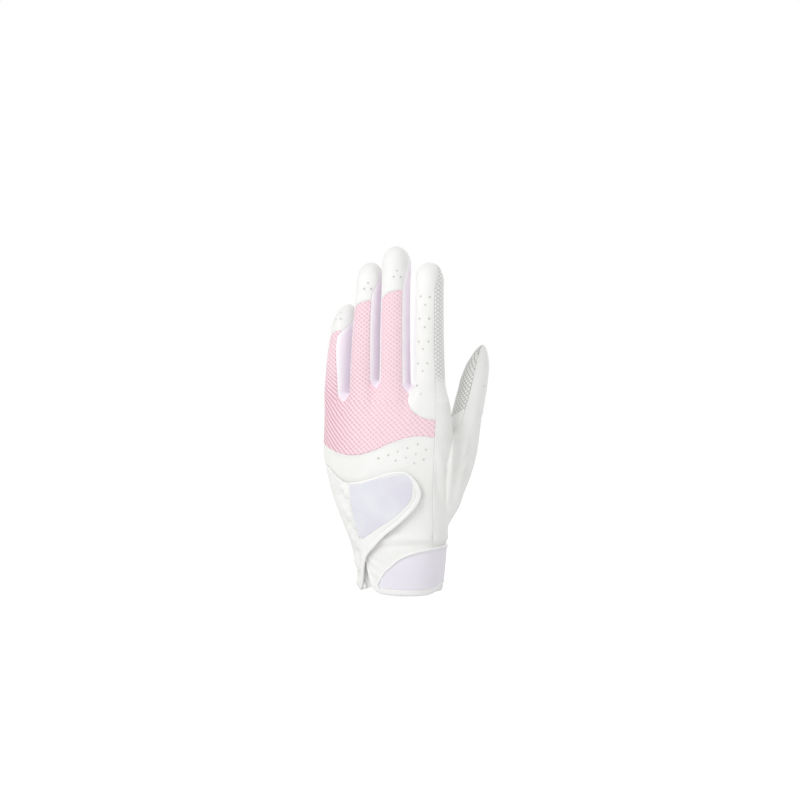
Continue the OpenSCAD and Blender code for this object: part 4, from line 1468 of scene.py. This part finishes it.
def tube(name, path, radius, material, slot, sides=10):
    """A round cord along a path of points, its ends closed."""
    ahead = np.gradient(path, axis=0)
    ahead /= np.linalg.norm(ahead, axis=1, keepdims=True)
    side = np.cross(ahead, (0, 0, 1.0))
    side /= np.maximum(np.linalg.norm(side, axis=1, keepdims=True), 1e-6)
    up = np.cross(side, ahead)
    turn = np.linspace(0, 2 * np.pi, sides, endpoint=False)[None, :, None]
    rings = path[:, None] + radius * (np.cos(turn) * side[:, None] + np.sin(turn) * up[:, None])
    faces = []
    for j in range(0, (len(path) - 1) * sides, sides):
        for i in range(sides):
            k = (i + 1) % sides
            faces.append((j + sides + i, j + sides + k, j + k, j + i))
    faces.append(tuple(range(sides)))
    faces.append(tuple(reversed(range((len(path) - 1) * sides, len(path) * sides))))
    return shape(name, rings.reshape(-1, 3), faces, material, slot)


BINDING = leather_finish("white_binding", rgb(249, 249, 248), rgb(244, 244, 243), 0.06, 0.42)
band_angles = mix(BAND[0, 0], BAND[-1, 0], (1 - np.cos(np.linspace(0, np.pi, 120))) / 2)
piping_line = hand(band_angles, band_top(band_angles) + 0.4, -0.42)
piece = tube("cuff_piping", piping_line, 0.82, BINDING, "white_binding")
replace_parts(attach(piece, "hand"), "cuff_piping")


def hem_path(k):
    """Angle and height along the glove's lower edge, from the vent's one side to its other."""
    steps = np.arange(len(HEM_LINE)) * 40 / CORNER_ROWS
    along = np.interp(k, (0, CORNER_SHARE), (0, 1)) * 40
    corner_a, corner_z = (np.interp(along, steps, HEM_LINE[:, n]) for n in (0, 1))
    rest = (k - CORNER_SHARE) / (1 - CORNER_SHARE)
    a = np.where(k < CORNER_SHARE, corner_a, mix(HEM_LINE[CORNER_ROWS, 0], HEM_END, rest))
    return a, np.where(k < CORNER_SHARE, corner_z, hem_low(a))


def hem(s, t):
    """Round the hem's own section, as t goes round it."""
    a, z = hem_path(s)
    a0, z0 = hem_path(np.clip(s - 2e-3, 0, 1))
    a1, z1 = hem_path(np.clip(s + 2e-3, 0, 1))
    run = np.linalg.norm((hand(a1, z1) - hand(a0, z0))[..., :2], axis=-1)
    norm = np.maximum(np.hypot(run, z1 - z0), 1e-9)
    per = np.maximum(np.abs(a1 - a0), 1e-9) / np.maximum(run, 1e-6)
    turn = t * 2 * np.pi
    share = 0.5 - 0.5 * np.sign(np.cos(turn)) * np.abs(np.cos(turn)) ** 0.6
    w = share * HEM_WIDTH * mix(0.5, 1, ease(s / 0.12))
    out = 0.75 * np.sin(turn)
    return hand(a - (z1 - z0) / norm * w * np.minimum(per, 3), z + run / norm * w, 0.3 - out)


def hem_piece():
    s, t = np.meshgrid(np.linspace(0, 1, 240), np.linspace(0, 1, 17)[:-1])
    rows, cols = s.shape
    faces = []
    for j in range(rows):
        n = (j + 1) % rows
        for i in range(cols - 1):
            faces.append((j * cols + i, j * cols + i + 1, n * cols + i + 1, n * cols + i))
    faces.append(tuple(j * cols for j in range(rows)))
    faces.append(tuple(j * cols + cols - 1 for j in reversed(range(rows))))
    piece = shape("hem_binding_strip", hem(s, t).reshape(-1, 3), faces, BINDING, "white_binding")
    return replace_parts(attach(piece, "hand"), "hem_binding")


hem_piece()


def hem_row(k, d):
    a = mix(262.0, 590.0, k)
    return hand(a, hem_low(a) + HEM_WIDTH - 1.1, d - 0.38)


def cuff_row(k, d):
    a = mix(264.0, 430.0, k)
    return hand(a, band_top(a) - 1.0, d - 0.55)


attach(stitches("hem_stitches", hem_row), "hand")
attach(stitches("cuff_stitches", cuff_row), "hand")


def inner_elastic(s, t, depth):
    return hand(mix(402, 498, s), mix(34, 46, t), depth)


grid = panel(inner_elastic, spaced(60, 1.5), spaced(12, 1.0), "", skin=0.6, face=SKIN + 0.45)
piece = sew("palm_elastic_strip", [grid], ELASTIC, "lavender_elastic")
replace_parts(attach(piece, "hand"), "palm_elastic")


# ---- Closure tab
# A leather tab sewn on along the little-finger side of the cuff. It lies over the vent and holds
# with hook tape on a loop patch. Its face is a pearl satin inset inside a wide turned edge.

HINGE_ANGLE, TAB_CLEAR, TAB_FOOT, TAB_TOP, TAB_REACH = 202.0, 0.9, 5.5, 74.0, 16.5
# How far the tab's face stands over the wrist's: beside the hinge, and over the tapes
ROOT_LIFT, TOP_LIFT = 0.35, 2.6
HINGE_FROM, HINGE_TO = (hand(HINGE_ANGLE, z, -TAB_CLEAR) for z in (TAB_FOOT, TAB_TOP))
# Place along the tab, then its lower and upper edge as shares of the hinge's height
TAB = np.array([
    (0, -0.01, 1.03), (0.05, -0.03, 0.986), (0.1, -0.028, 0.949), (0.14, -0.01, 0.92),
    (0.175, 0.03, 0.9), (0.205, 0.085, 0.885), (0.24, 0.168, 0.869), (0.32, 0.263, 0.866),
    (0.44, 0.336, 0.88), (0.57, 0.416, 0.912), (0.73, 0.504, 0.956), (0.82, 0.56, 0.965),
    (0.89, 0.613, 0.942), (0.95, 0.667, 0.89), (0.98, 0.708, 0.847), (1, 0.758, 0.797),
])


def tab_edge(s, side):
    """Height of the tab's lower (1) or upper (2) edge at a share of its length."""
    return mix(TAB_FOOT, TAB_TOP, curve(TAB, s, side))


def tab_root(z):
    """Sideways place of the tab's hinge line at a height."""
    return hand(np.full(np.shape(z), HINGE_ANGLE), z)[..., 0]


def tab_at(x, z, depth=0.0):
    """Point of the tab at a sideways place and height, depth under its face."""
    root = tab_root(z)
    s = (x - root) / (TAB_REACH - root)
    lift = mix(ROOT_LIFT, TOP_LIFT, ease(s / 0.35))
    return hand(back_angle(x, z), z, depth - lift)


def tab(s, t, depth):
    s = s**1.5
    z = mix(tab_edge(s, 1), tab_edge(s, 2), t)
    return tab_at(mix(tab_root(z), TAB_REACH, s), z, depth)


# Sideways place, then the inset's lower and upper edge there
INSET = np.array([
    (-23.6, 62.6, 63.4), (-22.7, 53.9, 63.6), (-20.1, 42.3, 64.3), (-17.6, 35.9, 64.8),
    (-15.4, 32.9, 65.3), (-12.5, 34.5, 66.0), (-9.5, 36.6, 66.7), (-4.7, 39.9, 68.0),
    (0.5, 43.6, 69.2), (5.0, 47.5, 70.1), (8.5, 51.3, 69.9), (10.6, 54.4, 68.2),
    (11.7, 57.4, 65.2), (12.1, 60.4, 61.6),
])


def inset_side(z):
    """Sideways place of the inset's slanting end at a height."""
    return np.interp(z, INSET[4::-1, 1], INSET[4::-1, 0])


def tab_folds(points):
    """Creases that the pull of the closure leaves in the leather between hinge and inset."""
    x, z = points[..., 0], points[..., 2]
    free = inset_side(z) - 1.6 - x
    near = ease(free / 2.5) * ease((9.5 - free) / 5) * ease((76 - z) / 6)
    creases = 0.95 * np.sin(z * 0.5 + x * 0.35) + 0.6 * np.sin(z * 0.93 - x * 0.6 + 1)
    return near * creases + leather_folds(points) * 0.6


def hangs(piece):
    """Works out a point on the tab's hinge line and a way off it, then bakes the piece's place into
    its mesh.
    """
    z = np.array(40.0)
    mid = tab_at(tab_root(z), z) * MM
    away = tab_at(tab_root(z) + 9, z) * MM - mid
    line = (HINGE_TO - HINGE_FROM) / np.linalg.norm(HINGE_TO - HINGE_FROM)
    away = away - line * (away @ line)
    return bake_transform(piece, "hand", "tab", tuple(mid), tuple(mid + away * 0.6))


grid = panel(tab, spaced(60, 1.1), spaced(40, 1.1), "rbt", puff=0.1, relief=tab_folds)
piece = hangs(sew("tab_leather", [grid], LEATHER, "white_leather"))
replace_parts(piece, "tab_shell")


def satin_finish():
    made, where, wear = finish("pearl_satin", 0.38, Sheen_Weight=0.25)
    thread = where.noise(3400, 2)
    broad = where.noise(55, 2)
    colour = broad.smooth(0.3, 0.7).tint(rgb(231, 233, 237), rgb(224, 222, 234))
    wear(Base_Color=colour, Normal=thread.bump(0.0001, 0.4), Roughness=0.34 + thread * 0.15)
    return made


SATIN = satin_finish()


def inset(s, t, depth):
    x = mix(INSET[0, 0], INSET[-1, 0], s)
    return tab_at(x, mix(curve(INSET, x, 1), curve(INSET, x, 2), t), depth - 0.28)


grid = panel(inset, spaced(36, 1.0), spaced(24, 1.0), "lrbt", puff=0.1, skin=0.4)
piece = hangs(sew("tab_inset_satin", [grid], SATIN, "pearl_satin"))
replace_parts(piece, "tab_inset")


def rim_point(k):
    """Place on the tab's edge: from the hinge's foot round the end and back along the top."""
    q = 1 - np.abs(2 * k - 1)
    s = mix(0.02, 1, 1 - (1 - q) ** 2)
    z = np.where(k < 0.5, tab_edge(s, 1), tab_edge(s, 2))
    return mix(tab_root(z), TAB_REACH, s), z


def rim_strip(k, w, depth):
    """Point of the turned edge at k along it and w mm in from the rim."""
    e = 0.004
    x, z = rim_point(k)
    x0, z0 = rim_point(np.clip(k - e, 0, 1))
    x1, z1 = rim_point(np.clip(k + e, 0, 1))
    norm = np.maximum(np.hypot(x1 - x0, z1 - z0), 1e-9)
    return tab_at(x - (z1 - z0) / norm * w, z + (x1 - x0) / norm * w, depth)


def rim_width(k):
    """Width of the turned edge, narrower along the top than along the foot."""
    return mix(3.2, 2.3, ease((k - 0.56) / 0.14))


def binding(s, t, depth):
    return rim_strip(s, mix(-0.15, rim_width(s) - 1.1, t), depth - 0.35)


grid = panel(binding, np.linspace(0, 1, 170), spaced(2.2, 0.5), "bt", puff=0.3, skin=0.3,
             roll=0.4)
piece = hangs(sew("tab_turned_edge", [grid], BINDING, "white_binding"))
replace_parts(piece, "tab_binding")


def rim_row(k, d):
    q = mix(0.18, 0.9, k)
    return rim_strip(q, rim_width(q) - 0.5, d - 0.02)


hangs(stitches("tab_rim_stitches", rim_row, 1.55, 1.05, 0.5, 0.5))


def inset_row(k, d):
    z = mix(62.0, 33.5, k)
    return tab_at(inset_side(z) - 0.9, z, d - 0.15)


hangs(stitches("tab_inset_stitches", inset_row, 1.55, 1.05, 0.5, 0.5))


def tape_finish():
    made, where, wear = finish("hook_and_loop", 0.8, Sheen_Weight=0.2)
    loops = where.node("ShaderNodeTexVoronoi", (), {"Vector": where, "Scale": 1100.0})
    colour = loops.tint(rgb(236, 236, 236), rgb(248, 248, 248))
    wear(Base_Color=colour, Normal=loops.bump(0.0004, 0.9), Roughness=0.75 + loops * 0.1)
    return made


TAPE = tape_finish()


def patch(s, t, s0, s1, margin):
    along = mix(s0, s1, s)
    z = mix(tab_edge(along, 1), tab_edge(along, 2), mix(margin, 1 - margin, t))
    return mix(tab_root(z), TAB_REACH, along), z


for name, node, body, ends, margin, under in (
    ("tab_hook_tape", "hook_patch", "tab", (0.4, 0.88), 0.16, SKIN + 0.15),
    ("wrist_loop_patch", "loop_patch", "hand", (0.4, 0.9), 0.1, TOP_LIFT - 0.95),
):
    def surface(s, t, depth):
        return tab_at(*patch(s, t, *ends, margin), depth + under)

    grid = panel(surface, spaced(30, 1.4), spaced(22, 1.4), "", skin=0.6)
    piece = sew(name, [grid], TAPE, "hook_and_loop")
    piece = hangs(piece) if body == "tab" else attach(piece, body)
    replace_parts(piece, node)


low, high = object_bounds()
